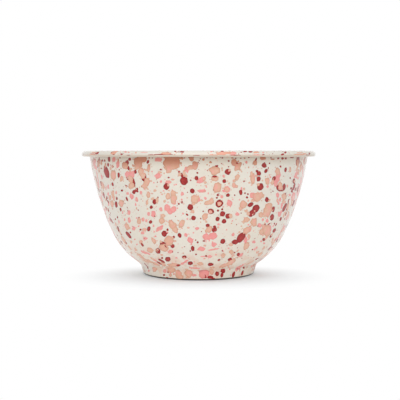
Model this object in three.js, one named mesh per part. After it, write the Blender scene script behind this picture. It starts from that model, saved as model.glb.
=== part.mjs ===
// Salad bowl of enamelled sheet steel.
// A drawn steel body with a rolled rim stands on a welded foot ring, and fired enamel
// covers the inside, the outside and the underside as three skins of glass.
// Millimetres, +Z up, origin on the table under the middle of the bowl.
import * as THREE from "three";

// Overall sizes, over the enamel
const RIM_DIAMETER = 260;
const HEIGHT = 136;

// Sheets and coating
const STEEL = 0.8; // thickness of the body's sheet
const FOOT_STEEL = 0.8; // thickness of the foot ring's sheet
const ENAMEL = 0.25; // ground coat and cover coat together, on each face

// Rolled rim
const BEAD_UPPER_RADIUS = 4.4; // over the enamel, from the crest down to the widest line
const BEAD_LOWER_RADIUS = 2.1; // over the enamel, from the widest line round to the lip
const RIM_OVERHANG = 8.6; // from the throat under the rim out to the edge of the bead
const RIM_TURN_RADIUS = 3; // where the wall turns over, at the middle of the sheet
const LIP_GAP = 0.5; // between the tucked lip and the enamel of the wall

// Wall and base, along the middle of the sheet
const BASE_CLEARANCE = 1.7; // from the table up to the enamel under the base
const BASE_TURN_RADIUS = 62;
const JOINT_SLOPE = 32; // degrees of rise where the foot meets the wall
const BELLY_RADIUS = 82;
const BELLY_TURN = 33; // degrees of turn from the foot joint to the wall

// Foot ring
const FOOT_DIAMETER = 130; // of the steel, where its side meets the wall
const FOOT_TAPER = 5; // how far the side and its edge draw in, down to the flat
const FOOT_LEDGE = 4; // width of the flat that stands on the table
const FOOT_EDGE_RADIUS = 1.6; // between the flat and the side, at the middle of the sheet
const WELD_LEG = 2.5; // of the fillet inside the foot
const WELD_GAP = 0.3; // root opening between the ring's top edge and the body
const JOINT_FILLET = 2.5; // of the enamel pooled in the corner above the foot

// Steps along each bend, and flats around the axis
const BASE_TURN_STEPS = 3;
const BELLY_STEPS = 5;
const WALL_STEPS = 4;
const RIM_TURN_STEPS = 3;
const BEAD_UPPER_STEPS = 4;
const BEAD_LOWER_STEPS = 3;
const FOOT_EDGE_STEPS = 4;
const FILLET_STEPS = 3;
const SIDES = 40;

// From the middle of the body's sheet to the surface of its enamel
const HALF_WALL = STEEL / 2 + ENAMEL;
const ON_AXIS = 1e-6;
const CORNERS_PER_FLAT = 6; // two triangles

// Unit vector at an angle in the half-plane of radius (x) and height (y).
function along(angle) {
  return new THREE.Vector2(Math.cos(angle), Math.sin(angle));
}

// Unit vector a quarter turn to the left of an angle.
function leftOf(angle) {
  return new THREE.Vector2(-Math.sin(angle), Math.cos(angle));
}

// The whole numbers from one to another, either way, both included.
function countThrough(from, to) {
  const step = Math.sign(to - from);
  return Array.from({ length: Math.abs(to - from) + 1 }, (_, i) => from + i * step);
}

// The middle line of a bent sheet in that half-plane, drawn as runs and bends.
class SheetPath {
  constructor(start, thickness) {
    this.thickness = thickness;
    this.stations = [{ point: start, heading: 0 }];
  }

  get last() {
    return this.stations.length - 1;
  }

  get end() {
    return this.stations[this.last];
  }

  // A straight run along the present heading.
  run(length) {
    const { point, heading } = this.end;
    this.stations.push({ point: point.clone().addScaledVector(along(heading), length), heading });
    return this.last;
  }

  // A bend about a centre on the left, or on the right where the radius is negative.
  bend(radius, turn, steps) {
    const { point, heading } = this.end;
    const centre = point.clone().addScaledVector(leftOf(heading), radius);
    for (let step = 1; step <= steps; step += 1) {
      const turned = heading + (turn * step) / steps;
      const bent = centre.clone().addScaledVector(leftOf(turned), -radius);
      this.stations.push({ point: bent, heading: turned });
    }
    return this.last;
  }

  // A point to the left of the middle line at a station.
  beside(station, distance) {
    const { point, heading } = this.stations[station];
    return point.clone().addScaledVector(leftOf(heading), distance);
  }

  // A point on the left face of the sheet.
  left(station) {
    return this.beside(station, this.thickness / 2);
  }

  // A point on the right face of the sheet.
  right(station) {
    return this.beside(station, -this.thickness / 2);
  }

  // The points on the left face from one station to another, either way, both included.
  leftRun(from, to) {
    return countThrough(from, to).map((station) => this.left(station));
  }

  // The points on the right face from one station to another, either way, both included.
  rightRun(from, to) {
    return countThrough(from, to).map((station) => this.right(station));
  }
}

// The arc that leaves a station along its heading and ends tangent to a circle
// about which the path then turns right.
function arcToCircle({ point, heading }, centre, radius) {
  const normal = leftOf(heading);
  const apart = point.clone().sub(centre);
  const arcRadius = (apart.lengthSq() - radius ** 2) / (2 * (radius - normal.dot(apart)));
  const arcCentre = point.clone().addScaledVector(normal, arcRadius);
  const touch = arcCentre.clone().sub(centre).divideScalar(arcRadius + radius);
  return { arcRadius, arcCentre, turn: Math.atan2(-touch.x, touch.y) - heading };
}

// The line moved to its left by a distance, with mitred corners.
function offsetLine(points, distance) {
  const headings = points.slice(1).map((point, i) => point.clone().sub(points[i]).angle());
  return points.map((point, i) => {
    const arriving = headings[Math.max(i - 1, 0)];
    const leaving = headings[Math.min(i, headings.length - 1)];
    const mitre = leftOf(arriving).add(leftOf(leaving));
    return point.clone().addScaledVector(mitre, (2 * distance) / mitre.lengthSq());
  });
}

// The line with one corner rounded, as far as the runs beside it allow.
function roundCorner(points, corner, radius) {
  const point = points[corner];
  const back = points[corner - 1].clone().sub(point);
  const ahead = points[corner + 1].clone().sub(point);
  const halfAngle = Math.acos(back.dot(ahead) / (back.length() * ahead.length())) / 2;
  const reach = Math.min(radius / Math.tan(halfAngle), back.length() / 2, ahead.length() / 2);
  const start = point.clone().addScaledVector(back.normalize(), reach);
  const end = point.clone().addScaledVector(ahead.normalize(), reach);
  const arc = new THREE.QuadraticBezierCurve(start, point, end).getPoints(FILLET_STEPS);
  return points.toSpliced(corner, 1, ...arc);
}

// Foot ring: a flat ledge turned up into a side that leans out to the joint on the body.
// Its top edge is bevelled to the slope of the body, a root opening below it.
function drawFoot(joint, slope) {
  const outerEdge = FOOT_EDGE_RADIUS + FOOT_STEEL / 2;
  const flatRadius = FOOT_DIAMETER / 2 - FOOT_TAPER;
  const reach = joint.clone().sub(new THREE.Vector2(flatRadius, outerEdge));
  const side = Math.sqrt(reach.lengthSq() - outerEdge ** 2);
  const lean = reach.angle() + Math.atan2(outerEdge, side);
  const opening = WELD_GAP / Math.sin(lean - slope);
  const bevel = FOOT_STEEL / Math.tan(lean - slope);
  const seatWidth = FOOT_STEEL / Math.sin(lean - slope);

  const path = new SheetPath(new THREE.Vector2(flatRadius - FOOT_LEDGE, FOOT_STEEL / 2), FOOT_STEEL);
  const flatEnd = path.run(FOOT_LEDGE);
  const edgeEnd = path.bend(FOOT_EDGE_RADIUS, lean, FOOT_EDGE_STEPS);
  const weldToe = path.run(side - opening - bevel - WELD_LEG);
  const top = path.run(bevel + WELD_LEG);
  const innerTop = path.left(top).addScaledVector(along(lean), -bevel);
  const enamelEnd = (flatEnd + edgeEnd) / 2;
  return { path, weldToe, top, innerTop, enamelEnd, seatWidth };
}

// Body: flat base, base turn, belly and wall, turned over and rolled into a hollow drooping
// bead whose lip tucks back towards the wall.
function drawBody(slope, seatWidth) {
  const crest = HEIGHT - HALF_WALL;
  const beadStart = RIM_DIAMETER / 2 - BEAD_UPPER_RADIUS;
  const throat = RIM_DIAMETER / 2 - RIM_OVERHANG;
  const turnCentre = new THREE.Vector2(throat - HALF_WALL + RIM_TURN_RADIUS, crest - RIM_TURN_RADIUS);
  const underTurn = BASE_TURN_RADIUS + STEEL / 2;
  const flatRadius = FOOT_DIAMETER / 2 - underTurn * Math.sin(slope);
  const weldTurn = (seatWidth + WELD_LEG) / underTurn;

  const path = new SheetPath(new THREE.Vector2(0, BASE_CLEARANCE + HALF_WALL), STEEL);
  path.run(flatRadius);
  const weldToe = path.bend(BASE_TURN_RADIUS, slope - weldTurn, BASE_TURN_STEPS);
  const joint = path.bend(BASE_TURN_RADIUS, weldTurn, 1);
  path.bend(BELLY_RADIUS, THREE.MathUtils.degToRad(BELLY_TURN), BELLY_STEPS);
  const wall = arcToCircle(path.end, turnCentre, RIM_TURN_RADIUS);
  const wallTop = path.bend(wall.arcRadius, wall.turn, WALL_STEPS);
  path.bend(-RIM_TURN_RADIUS, -path.end.heading, RIM_TURN_STEPS);
  path.run(beadStart - turnCentre.x);
  path.bend(HALF_WALL - BEAD_UPPER_RADIUS, -Math.PI / 2, BEAD_UPPER_STEPS);
  path.bend(HALF_WALL - BEAD_LOWER_RADIUS, -Math.PI / 2, BEAD_LOWER_STEPS);

  const lip = path.end.point;
  const outside = wall.arcRadius + HALF_WALL;
  const reach = Math.sqrt(outside ** 2 - (lip.y - wall.arcCentre.y) ** 2);
  const wallAtLip = wall.arcCentre.x + Math.sign(outside) * reach;
  path.run(lip.x - wallAtLip - LIP_GAP);
  return { path, weldToe, joint, wallTop };
}

// A solid of revolution from a loop that keeps the solid on its left. A loop with an edge
// on the axis starts and ends there, and any other loop closes on itself.
function revolve(loop) {
  const start = loop.findIndex((point, i) => point.x < ON_AXIS && loop.at(i - 1).x < ON_AXIS);
  const profile = start < 0 ? [...loop, loop[0]] : [...loop.slice(start), ...loop.slice(0, start)];
  return new THREE.LatheGeometry(profile, SIDES);
}

// The same solid with each flat split along its other diagonal, for a piece bonded to one
// that was revolved the plain way: the two then meet on the very same triangles.
function revolveBonded(loop) {
  const geometry = revolve(loop);
  const index = geometry.getIndex();
  for (let flat = 0; flat < index.count; flat += CORNERS_PER_FLAT) {
    const [a, b, d, c] = index.array.slice(flat);
    [a, b, c, a, c, d].forEach((corner, i) => index.setX(flat + i, corner));
  }
  return geometry;
}

const jointSlope = THREE.MathUtils.degToRad(JOINT_SLOPE);
const jointCorner = new THREE.Vector2(
  FOOT_DIAMETER / 2,
  BASE_CLEARANCE + HALF_WALL + BASE_TURN_RADIUS - (BASE_TURN_RADIUS + STEEL / 2) * Math.cos(jointSlope),
);
const foot = drawFoot(jointCorner, jointSlope);
const body = drawBody(jointSlope, foot.seatWidth);

// Steel pieces
const bodyLoop = [
  ...body.path.rightRun(0, body.path.last),
  ...body.path.leftRun(body.path.last, 0),
];
const footLoop = [
  ...foot.path.rightRun(0, foot.top),
  foot.innerTop,
  ...foot.path.leftRun(foot.weldToe, 0),
];
const weldLoop = [
  foot.path.left(foot.weldToe),
  foot.innerTop,
  foot.path.right(foot.top),
  ...body.path.rightRun(body.joint, body.weldToe),
];

// Lines of steel with the enamel on their left
const insideLine = body.path.leftRun(0, body.path.last);
const outsideLine = [
  ...body.path.rightRun(body.wallTop, body.joint),
  ...foot.path.rightRun(foot.top, foot.enamelEnd),
];
const undersideLine = [
  ...foot.path.leftRun(0, foot.weldToe),
  ...body.path.rightRun(body.weldToe, 0),
];
const insideGloss = offsetLine(insideLine, ENAMEL);
const outsideRidge = outsideLine.filter((_, i) => i !== body.wallTop - body.joint + 1);
const outsideGloss = roundCorner(offsetLine(outsideRidge, ENAMEL), body.wallTop - body.joint, JOINT_FILLET);
const undersideGloss = offsetLine(undersideLine, ENAMEL);

const sheetSteel = { color: 0x8d8f92, roughness: 0.45, metalness: 1 };
const weldSteel = { color: 0x6f7073, roughness: 0.6, metalness: 1 };
const creamEnamel = { color: 0xe3ddcf, roughness: 0.12, metalness: 0 };

const pieces = [
  ["bowl_body", revolve(bodyLoop), sheetSteel],
  ["foot_ring", revolve(footLoop), sheetSteel],
  ["foot_weld", revolveBonded(weldLoop), weldSteel],
  ["inside_enamel", revolveBonded([...insideLine, ...insideGloss.toReversed()]), creamEnamel],
  ["outside_enamel", revolveBonded([...outsideLine, ...outsideGloss.toReversed()]), creamEnamel],
  ["underside_enamel", revolveBonded([...undersideLine, ...undersideGloss.toReversed()]), creamEnamel],
];

// The lathe turns about Y, so the bowl is tipped up to stand along Z
const bowl = new THREE.Group();
bowl.name = "salad_bowl";
bowl.rotation.x = Math.PI / 2;
for (const [name, geometry, finish] of pieces) {
  const piece = new THREE.Mesh(geometry, new THREE.MeshStandardMaterial(finish));
  piece.name = name;
  bowl.add(piece);
}

export default bowl;
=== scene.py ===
"""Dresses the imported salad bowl: enamelled sheet steel, cream with a spatter of fired drops.

The bowl's profile is drawn again from its driving sizes with finer bends, and a lathe made of
geometry nodes turns each piece round the axis. Each drop of coloured enamel is a thin raised
lens that follows the coat it was fired on. Profiles are in millimetres, as radius and height,
and objects are in metres. A bearing is an angle round the axis from the front of the bowl,
which faces -Y, towards +X.
"""

import bisect
import logging
import math
import random
from dataclasses import dataclass, field, replace
from enum import Enum
from itertools import accumulate
from typing import Callable, Optional, Sequence, Union

import bpy
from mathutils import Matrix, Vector
from mathutils.bvhtree import BVHTree

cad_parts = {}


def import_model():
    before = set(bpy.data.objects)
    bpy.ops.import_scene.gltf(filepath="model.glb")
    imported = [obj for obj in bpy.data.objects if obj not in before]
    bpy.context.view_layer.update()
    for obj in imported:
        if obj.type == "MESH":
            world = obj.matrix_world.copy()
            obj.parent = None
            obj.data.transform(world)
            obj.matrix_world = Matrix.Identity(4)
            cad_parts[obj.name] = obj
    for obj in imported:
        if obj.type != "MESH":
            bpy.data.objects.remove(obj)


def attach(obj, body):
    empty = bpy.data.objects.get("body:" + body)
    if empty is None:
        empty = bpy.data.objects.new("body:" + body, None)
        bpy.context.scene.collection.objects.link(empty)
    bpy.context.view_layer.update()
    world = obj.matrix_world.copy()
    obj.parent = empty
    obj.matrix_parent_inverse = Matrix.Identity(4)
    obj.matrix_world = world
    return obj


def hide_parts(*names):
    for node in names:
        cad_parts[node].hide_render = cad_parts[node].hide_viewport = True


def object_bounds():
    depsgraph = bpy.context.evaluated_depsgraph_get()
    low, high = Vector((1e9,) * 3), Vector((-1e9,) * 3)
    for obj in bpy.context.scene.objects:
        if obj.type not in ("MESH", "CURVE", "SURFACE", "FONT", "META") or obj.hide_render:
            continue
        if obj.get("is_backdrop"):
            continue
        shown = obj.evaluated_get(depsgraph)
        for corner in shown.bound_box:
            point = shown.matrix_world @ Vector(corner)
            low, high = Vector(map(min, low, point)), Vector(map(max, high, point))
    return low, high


LOG = logging.getLogger("salad_bowl")

MM = 0.001
BODY = "root"
WHITE = (1.0, 1.0, 1.0, 1.0)
GLASS_INDEX = 1.5
# In square millimetres
SQUARE_DECIMETRE = 1e4
# A drop whose seed is above this, and which is wide enough, has an open middle
RING_SEED = 0.66
# Drops under this width, in millimetres, are specks
SPECK_LIMIT = 2.0
# Bearings up to which the photograph shows the wall and the bead, and the radius where the bead starts
FRONT_OF_WALL = math.radians(60)
FRONT_OF_BEAD = math.radians(95)
BEAD_REACH = 127.0

Colour = tuple[float, float, float, float]
Range = tuple[float, float]


class Side(Enum):
    """Sides of the bowl that are spattered."""

    OUTSIDE = "outside"
    INSIDE = "inside"


class Tint(Enum):
    """Colours of the spattered drops."""

    PINK = "pink"
    PEACH = "peach"
    BURGUNDY = "burgundy"


SCATTER_SEEDS = {Side.OUTSIDE: 11, Side.INSIDE: 23}
# How far the drops stand off the coat, in millimetres, and those that landed last
LIFTS = {Tint.PINK: 0.03, Tint.BURGUNDY: 0.055, Tint.PEACH: 0.08}
TOP_LIFT = 0.1


def srgb(red: int, green: int, blue: int) -> Colour:
    """Converts a display colour to the linear colour that a shader takes.

    Args:
        red: Red from 0 to 255.
        green: Green from 0 to 255.
        blue: Blue from 0 to 255.

    Returns:
        The linear colour with an alpha of 1.
    """
    toe, slope, offset, power = 0.04045, 12.92, 0.055, 2.4
    shares = [value / 255 for value in (red, green, blue)]
    linear = [s / slope if s <= toe else ((s + offset) / (1 + offset)) ** power for s in shares]
    return (linear[0], linear[1], linear[2], 1.0)


def along(angle: float) -> Vector:
    """Unit vector at an angle in the half-plane of radius and height."""
    return Vector((math.cos(angle), math.sin(angle)))


def left_of(angle: float) -> Vector:
    """Unit vector a quarter turn to the left of an angle."""
    return Vector((-math.sin(angle), math.cos(angle)))


def heading_of(step: Vector) -> float:
    """Angle of a step in the half-plane of radius and height."""
    return math.atan2(step.y, step.x)


def around(radius: float, bearing: float, height: float) -> Vector:
    """Place of a point on the bowl.

    Args:
        radius: Distance from the axis.
        bearing: Angle round the axis from the front, in radians.
        height: Height above the table.

    Returns:
        The point, in the unit of the radius and the height.
    """
    return Vector((radius * math.sin(bearing), -radius * math.cos(bearing), height))


def math_method(operation: str, reflected: bool = False) -> Callable[["Wire", "Input"], "Wire"]:
    """Makes a method of a wire that adds a Math node with two inputs.

    Args:
        operation: The node's operation.
        reflected: Whether the wire is the second input.

    Returns:
        The method.
    """

    def method(wire: "Wire", value: "Input") -> "Wire":
        """Adds the node and returns its output."""
        return wire.maths(operation, value, wire) if reflected else wire.maths(operation, wire, value)

    return method


class Wire:
    """An output socket of a node, on which Python's operators add Math nodes."""

    __add__ = math_method("ADD")
    __radd__ = math_method("ADD", reflected=True)
    __sub__ = math_method("SUBTRACT")
    __rsub__ = math_method("SUBTRACT", reflected=True)
    __mul__ = math_method("MULTIPLY")
    __rmul__ = math_method("MULTIPLY", reflected=True)
    __truediv__ = math_method("DIVIDE")
    __rtruediv__ = math_method("DIVIDE", reflected=True)
    __mod__ = math_method("MODULO")
    __rmod__ = math_method("MODULO", reflected=True)
    __lt__ = math_method("LESS_THAN")
    __gt__ = math_method("GREATER_THAN")
    larger = math_method("MAXIMUM")

    def __init__(self, graph: "Graph", socket: bpy.types.NodeSocket) -> None:
        """Keeps the socket and the graph that it belongs to."""
        self.graph = graph
        self.socket = socket

    def other(self, name: str) -> "Wire":
        """Another output of the same node, by name."""
        return Wire(self.graph, self.socket.node.outputs[name])

    def maths(self, operation: str, *values: "Input") -> "Wire":
        """A Math node whose inputs are these values, in order."""
        return self.graph.node("ShaderNodeMath", {"operation": operation}, dict(enumerate(values)))

    def floor(self) -> "Wire":
        """The whole number at or below this."""
        return self.maths("FLOOR", self)

    def cosine(self) -> "Wire":
        """Cosine of this angle."""
        return self.maths("COSINE", self)

    def sine(self) -> "Wire":
        """Sine of this angle."""
        return self.maths("SINE", self)

    def eased(self, start: float, end: float) -> "Wire":
        """Goes smoothly from 0 at the start to 1 at the end, and is held there outside them."""
        sockets = {"Value": self, "From Min": start, "From Max": end}
        return self.graph.node("ShaderNodeMapRange", {"interpolation_type": "SMOOTHSTEP"}, sockets)


Input = Union[Wire, list[Wire], float, int, bool, str, Sequence[float], bpy.types.ID]


class Graph:
    """A node tree under construction, for a material, the world or geometry."""

    def __init__(self, tree: bpy.types.NodeTree) -> None:
        """Takes over a tree and clears it."""
        self.tree = tree
        tree.nodes.clear()

    @staticmethod
    def enabled(sockets: Sequence[bpy.types.NodeSocket], key: Union[str, int]) -> bpy.types.NodeSocket:
        """Picks one of a node's sockets.

        Args:
            sockets: The node's inputs or outputs.
            key: The socket's number or name.

        Returns:
            The socket. Of those with the same name, it is the one that the node's settings enable.
        """
        if isinstance(key, int):
            return sockets[key]
        return next(socket for socket in sockets if socket.enabled and socket.name == key)

    def node(
        self,
        kind: str,
        settings: Optional[dict[str, object]] = None,
        sockets: Optional[dict[Union[str, int], Input]] = None,
        output: Union[str, int] = 0,
    ) -> Wire:
        """Adds one node.

        Args:
            kind: The node's type name in Blender.
            settings: The node's own properties, which are set first.
            sockets: Values, wires or lists of wires for its inputs, by name or number.
            output: The output to return, by name or number.

        Returns:
            That output as a wire.
        """
        made = self.tree.nodes.new(kind)
        for name, value in (settings or {}).items():
            setattr(made, name, value)
        for key, value in (sockets or {}).items():
            socket = self.enabled(made.inputs, key)
            wires = [value] if isinstance(value, Wire) else value
            if isinstance(wires, list):
                for wire in wires:
                    self.tree.links.new(wire.socket, socket)
            else:
                socket.default_value = value
        return Wire(self, self.enabled(made.outputs, output) if made.outputs else None)

    def vector(self, operation: str, *values: Input, output: str = "Vector") -> Wire:
        """A Vector Math node whose inputs are these values, in order."""
        sockets = dict(enumerate(values))
        return self.node("ShaderNodeVectorMath", {"operation": operation}, sockets, output)

    def length(self, vector: Wire) -> Wire:
        """Length of a vector."""
        return self.vector("LENGTH", vector, output="Value")

    def flat(self, vector: Wire) -> Wire:
        """A vector with its height taken out."""
        return self.vector("MULTIPLY", vector, (1.0, 1.0, 0.0))

    def rise(self, vector: Wire) -> Wire:
        """Height of a vector."""
        return self.node("ShaderNodeSeparateXYZ", sockets={0: vector}).other("Z")

    def scaled(self, vector: Input, factor: Input) -> Wire:
        """A vector times a number."""
        sockets = {"Vector": vector, "Scale": factor}
        return self.node("ShaderNodeVectorMath", {"operation": "SCALE"}, sockets)

    def mixed_vector(self, factor: Wire, first: Wire, second: Wire) -> Wire:
        """Vector on the way from a first one to a second one."""
        step = self.vector("SUBTRACT", second, first)
        return self.vector("ADD", first, self.scaled(step, factor))

    def mixed_colour(self, factor: Input, first: Input, second: Input) -> Wire:
        """Colour on the way from a first one to a second one."""
        sockets = {"Factor": factor, "A": first, "B": second}
        return self.node("ShaderNodeMix", {"data_type": "RGBA"}, sockets, "Result")

    def mixed_shader(self, factor: Wire, first: Wire, second: Wire) -> Wire:
        """Shader on the way from a first one to a second one."""
        return self.node("ShaderNodeMixShader", sockets={0: factor, 1: first, 2: second})

    def noise(self, place: Wire, scale: float, detail: float = 2.0) -> Wire:
        """Value of a noise texture at a place."""
        return self.node("ShaderNodeTexNoise", sockets={"Vector": place, "Scale": scale, "Detail": detail})

    def attribute(self, name: str) -> Wire:
        """A number stored on a mesh, read by a material."""
        return self.node("ShaderNodeAttribute", {"attribute_name": name}, output="Fac")

    def named(self, name: str, data_type: str = "FLOAT") -> Wire:
        """A value stored on a mesh, read by geometry nodes."""
        return self.node("GeometryNodeInputNamedAttribute", {"data_type": data_type}, {"Name": name})

    def stored(self, geometry: Wire, name: str, value: Wire, data_type: str = "FLOAT") -> Wire:
        """A geometry with a named value stored on its points."""
        sockets = {"Geometry": geometry, "Name": name, "Value": value}
        return self.node("GeometryNodeStoreNamedAttribute", {"data_type": data_type}, sockets)

    def seen(self) -> Wire:
        """One for rays of the camera, gloss or clear glass, and zero for scattered light."""
        path = self.node("ShaderNodeLightPath", output="Is Camera Ray")
        return path.larger(path.other("Is Glossy Ray")).larger(path.other("Is Transmission Ray"))


@dataclass(frozen=True)
class Station:
    """A place on the middle line of a bent sheet."""

    point: Vector
    heading: float

    def beside(self, distance: float) -> Vector:
        """A point to the left of the middle line."""
        return self.point + left_of(self.heading) * distance


class SheetPath:
    """The middle line of a bent sheet, drawn as runs and bends."""

    def __init__(self, start: Vector, thickness: float) -> None:
        """Starts at a point, heading outwards."""
        self.thickness = thickness
        self.stations = [Station(start, 0.0)]

    @property
    def last(self) -> int:
        """Number of the last station."""
        return len(self.stations) - 1

    @property
    def end(self) -> Station:
        """The last station."""
        return self.stations[-1]

    def run(self, length: float) -> int:
        """Adds a straight run and returns its last station's number."""
        self.stations.append(Station(self.end.point + along(self.end.heading) * length, self.end.heading))
        return self.last

    def bend(self, radius: float, turn: float, steps: int) -> int:
        """Adds a bend.

        Args:
            radius: Radius about a centre on the left, or on the right if it is negative.
            turn: Angle of the bend, positive to the left.
            steps: Number of stations to add.

        Returns:
            The number of the bend's last station.
        """
        start = self.end
        centre = start.beside(radius)
        for step in range(1, steps + 1):
            heading = start.heading + turn * step / steps
            self.stations.append(Station(centre - left_of(heading) * radius, heading))
        return self.last

    def side(self, first: int, last: int, distance: float) -> list[Vector]:
        """Points a distance to the left of the middle line, from one station to another."""
        step = 1 if last >= first else -1
        return [self.stations[i].beside(distance) for i in range(first, last + step, step)]

    def left(self, first: int, last: int) -> list[Vector]:
        """Points on the left face of the sheet, from one station to another."""
        return self.side(first, last, self.thickness / 2)

    def right(self, first: int, last: int) -> list[Vector]:
        """Points on the right face of the sheet, from one station to another."""
        return self.side(first, last, -self.thickness / 2)


def offset_line(points: Sequence[Vector], distance: float) -> list[Vector]:
    """Moves a line to its left, with mitred corners.

    Args:
        points: The line's points.
        distance: How far it moves.

    Returns:
        The moved points.
    """
    headings = [heading_of(after - before) for before, after in zip(points, points[1:])]
    moved = []
    for i, point in enumerate(points):
        mitre = left_of(headings[max(i - 1, 0)]) + left_of(headings[min(i, len(headings) - 1)])
        moved.append(point + mitre * (2 * distance / mitre.length_squared))
    return moved


def crossing(first: Vector, first_heading: float, second: Vector, second_heading: float) -> Vector:
    """Point where two lines cross.

    Args:
        first: A point on the first line.
        first_heading: Angle of the first line.
        second: A point on the second line.
        second_heading: Angle of the second line.

    Returns:
        The crossing.
    """
    normal = left_of(second_heading)
    step = along(first_heading)
    return first + step * ((second - first).dot(normal) / step.dot(normal))


@dataclass
class FootRing:
    """The welded foot: a band with its lower edge turned in, and the weld inside it."""

    diameter: float = 130.0
    taper: float = 5.0
    ledge: float = 4.0
    edge_radius: float = 1.6
    steel: float = 0.8
    weld_leg: float = 2.5
    weld_gap: float = 0.3
    edge_steps: int = 10

    def draw(self, joint: Vector, slope: float) -> None:
        """Draws the ring's sheet from its flat up to the joint.

        Args:
            joint: Corner where the ring's outer side meets the body.
            slope: Heading of the body at that corner.
        """
        outer_edge = self.edge_radius + self.steel / 2
        flat_radius = self.diameter / 2 - self.taper
        reach = joint - Vector((flat_radius, outer_edge))
        side = math.sqrt(reach.length_squared - outer_edge**2)
        self.lean = heading_of(reach) + math.atan2(outer_edge, side)
        opening = self.weld_gap / math.sin(self.lean - slope)
        bevel = self.steel / math.tan(self.lean - slope)
        self.seat_width = self.steel / math.sin(self.lean - slope)

        self.path = SheetPath(Vector((flat_radius - self.ledge, self.steel / 2)), self.steel)
        flat_end = self.path.run(self.ledge)
        edge_end = self.path.bend(self.edge_radius, self.lean, self.edge_steps)
        self.weld_toe = self.path.run(side - opening - bevel - self.weld_leg)
        self.top = self.path.run(bevel + self.weld_leg)
        self.inner_top = self.path.end.beside(self.steel / 2) - along(self.lean) * bevel
        self.enamel_end = (flat_end + edge_end) // 2

    def ring_loop(self) -> list[Vector]:
        """The ring's section."""
        inner = self.path.left(self.weld_toe, 0)
        return [*self.path.right(0, self.top), self.inner_top, *inner]

    def weld_loop(self, body: "DrawnBody") -> list[Vector]:
        """The weld's section, between the ring and the body.

        Args:
            body: The shell that the ring is welded to.

        Returns:
            The section's points, in order.
        """
        toe = self.path.left(self.weld_toe, self.weld_toe)
        top = self.path.right(self.top, self.top)
        return [*toe, self.inner_top, *top, *body.path.right(body.joint, body.weld_toe)]


@dataclass
class DrawnBody:
    """The drawn steel shell, with its edge turned over and rolled into a hollow bead."""

    rim_diameter: float
    height: float
    enamel: float
    foot: FootRing
    steel: float = 0.8
    bead_upper_radius: float = 4.4
    bead_lower_radius: float = 2.1
    rim_overhang: float = 8.6
    rim_turn_radius: float = 3.0
    lip_gap: float = 0.5
    base_clearance: float = 1.7
    base_turn_radius: float = 62.0
    joint_slope: float = math.radians(32)
    belly_radius: float = 82.0
    belly_turn: float = math.radians(33)
    base_steps: int = 12
    belly_steps: int = 28
    wall_steps: int = 28
    rim_steps: int = 12
    bead_steps: int = 14

    def __post_init__(self) -> None:
        """Draws the foot and then the body that stands on it."""
        self.half_wall = self.steel / 2 + self.enamel
        under_turn = self.base_turn_radius + self.steel / 2
        base = self.base_clearance + self.half_wall
        joint_height = base + self.base_turn_radius - under_turn * math.cos(self.joint_slope)
        self.foot.draw(Vector((self.foot.diameter / 2, joint_height)), self.joint_slope)
        self.draw(base, under_turn)

    def draw(self, base: float, under_turn: float) -> None:
        """Draws the body's sheet from the axis to the tucked lip of the rim.

        Args:
            base: Height of the middle of the sheet at the axis.
            under_turn: Radius of the base turn at the sheet's lower face.
        """
        crest = self.height - self.half_wall
        throat = self.rim_diameter / 2 - self.rim_overhang
        turn_centre = Vector((throat - self.half_wall, crest)) + Vector((1, -1)) * self.rim_turn_radius
        bead_start = self.rim_diameter / 2 - self.bead_upper_radius
        weld_turn = (self.foot.seat_width + self.foot.weld_leg) / under_turn

        self.path = SheetPath(Vector((0, base)), self.steel)
        self.path.run(self.foot.diameter / 2 - under_turn * math.sin(self.joint_slope))
        self.weld_toe = self.path.bend(self.base_turn_radius, self.joint_slope - weld_turn, self.base_steps)
        self.joint = self.path.bend(self.base_turn_radius, weld_turn, 1)
        self.path.bend(self.belly_radius, self.belly_turn, self.belly_steps)
        arc_radius, arc_centre = self.wall_arc(turn_centre)
        touch = (arc_centre - turn_centre) / (arc_radius + self.rim_turn_radius)
        wall_turn = math.atan2(-touch.x, touch.y) - self.path.end.heading
        self.wall_top = self.path.bend(arc_radius, wall_turn, self.wall_steps)
        self.path.bend(-self.rim_turn_radius, -self.path.end.heading, self.rim_steps)
        self.path.run(bead_start - turn_centre.x)
        for radius in (self.bead_upper_radius, self.bead_lower_radius):
            self.path.bend(self.half_wall - radius, -math.pi / 2, self.bead_steps)
        self.tuck_lip(arc_radius, arc_centre)

    def wall_arc(self, turn_centre: Vector) -> tuple[float, Vector]:
        """The arc that carries on from the belly and meets the rim's turn.

        Args:
            turn_centre: Centre of the rim's turn.

        Returns:
            The arc's radius and centre.
        """
        start = self.path.end
        apart = start.point - turn_centre
        turn = self.rim_turn_radius
        radius = (apart.length_squared - turn**2) / (2 * (turn - left_of(start.heading).dot(apart)))
        return radius, start.beside(radius)

    def tuck_lip(self, arc_radius: float, arc_centre: Vector) -> None:
        """Runs the rolled lip back to a small gap from the wall.

        Args:
            arc_radius: Radius of the wall's arc.
            arc_centre: Centre of the wall's arc.
        """
        lip = self.path.end.point
        outside = arc_radius + self.half_wall
        reach = math.sqrt(outside**2 - (lip.y - arc_centre.y) ** 2)
        wall_at_lip = arc_centre.x + math.copysign(reach, outside)
        self.path.run(lip.x - wall_at_lip - self.lip_gap)

    def section(self) -> list[Vector]:
        """The body's section."""
        return [*self.path.right(0, self.path.last), *self.path.left(self.path.last, 0)]


@dataclass(frozen=True)
class CoatFaces:
    """The two faces of a coat in section: on the steel, and back along the gloss."""

    steel: list[Vector]
    gloss: list[Vector]

    def section(self) -> list[Vector]:
        """The coat's section."""
        return [*self.steel, *self.gloss]


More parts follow.
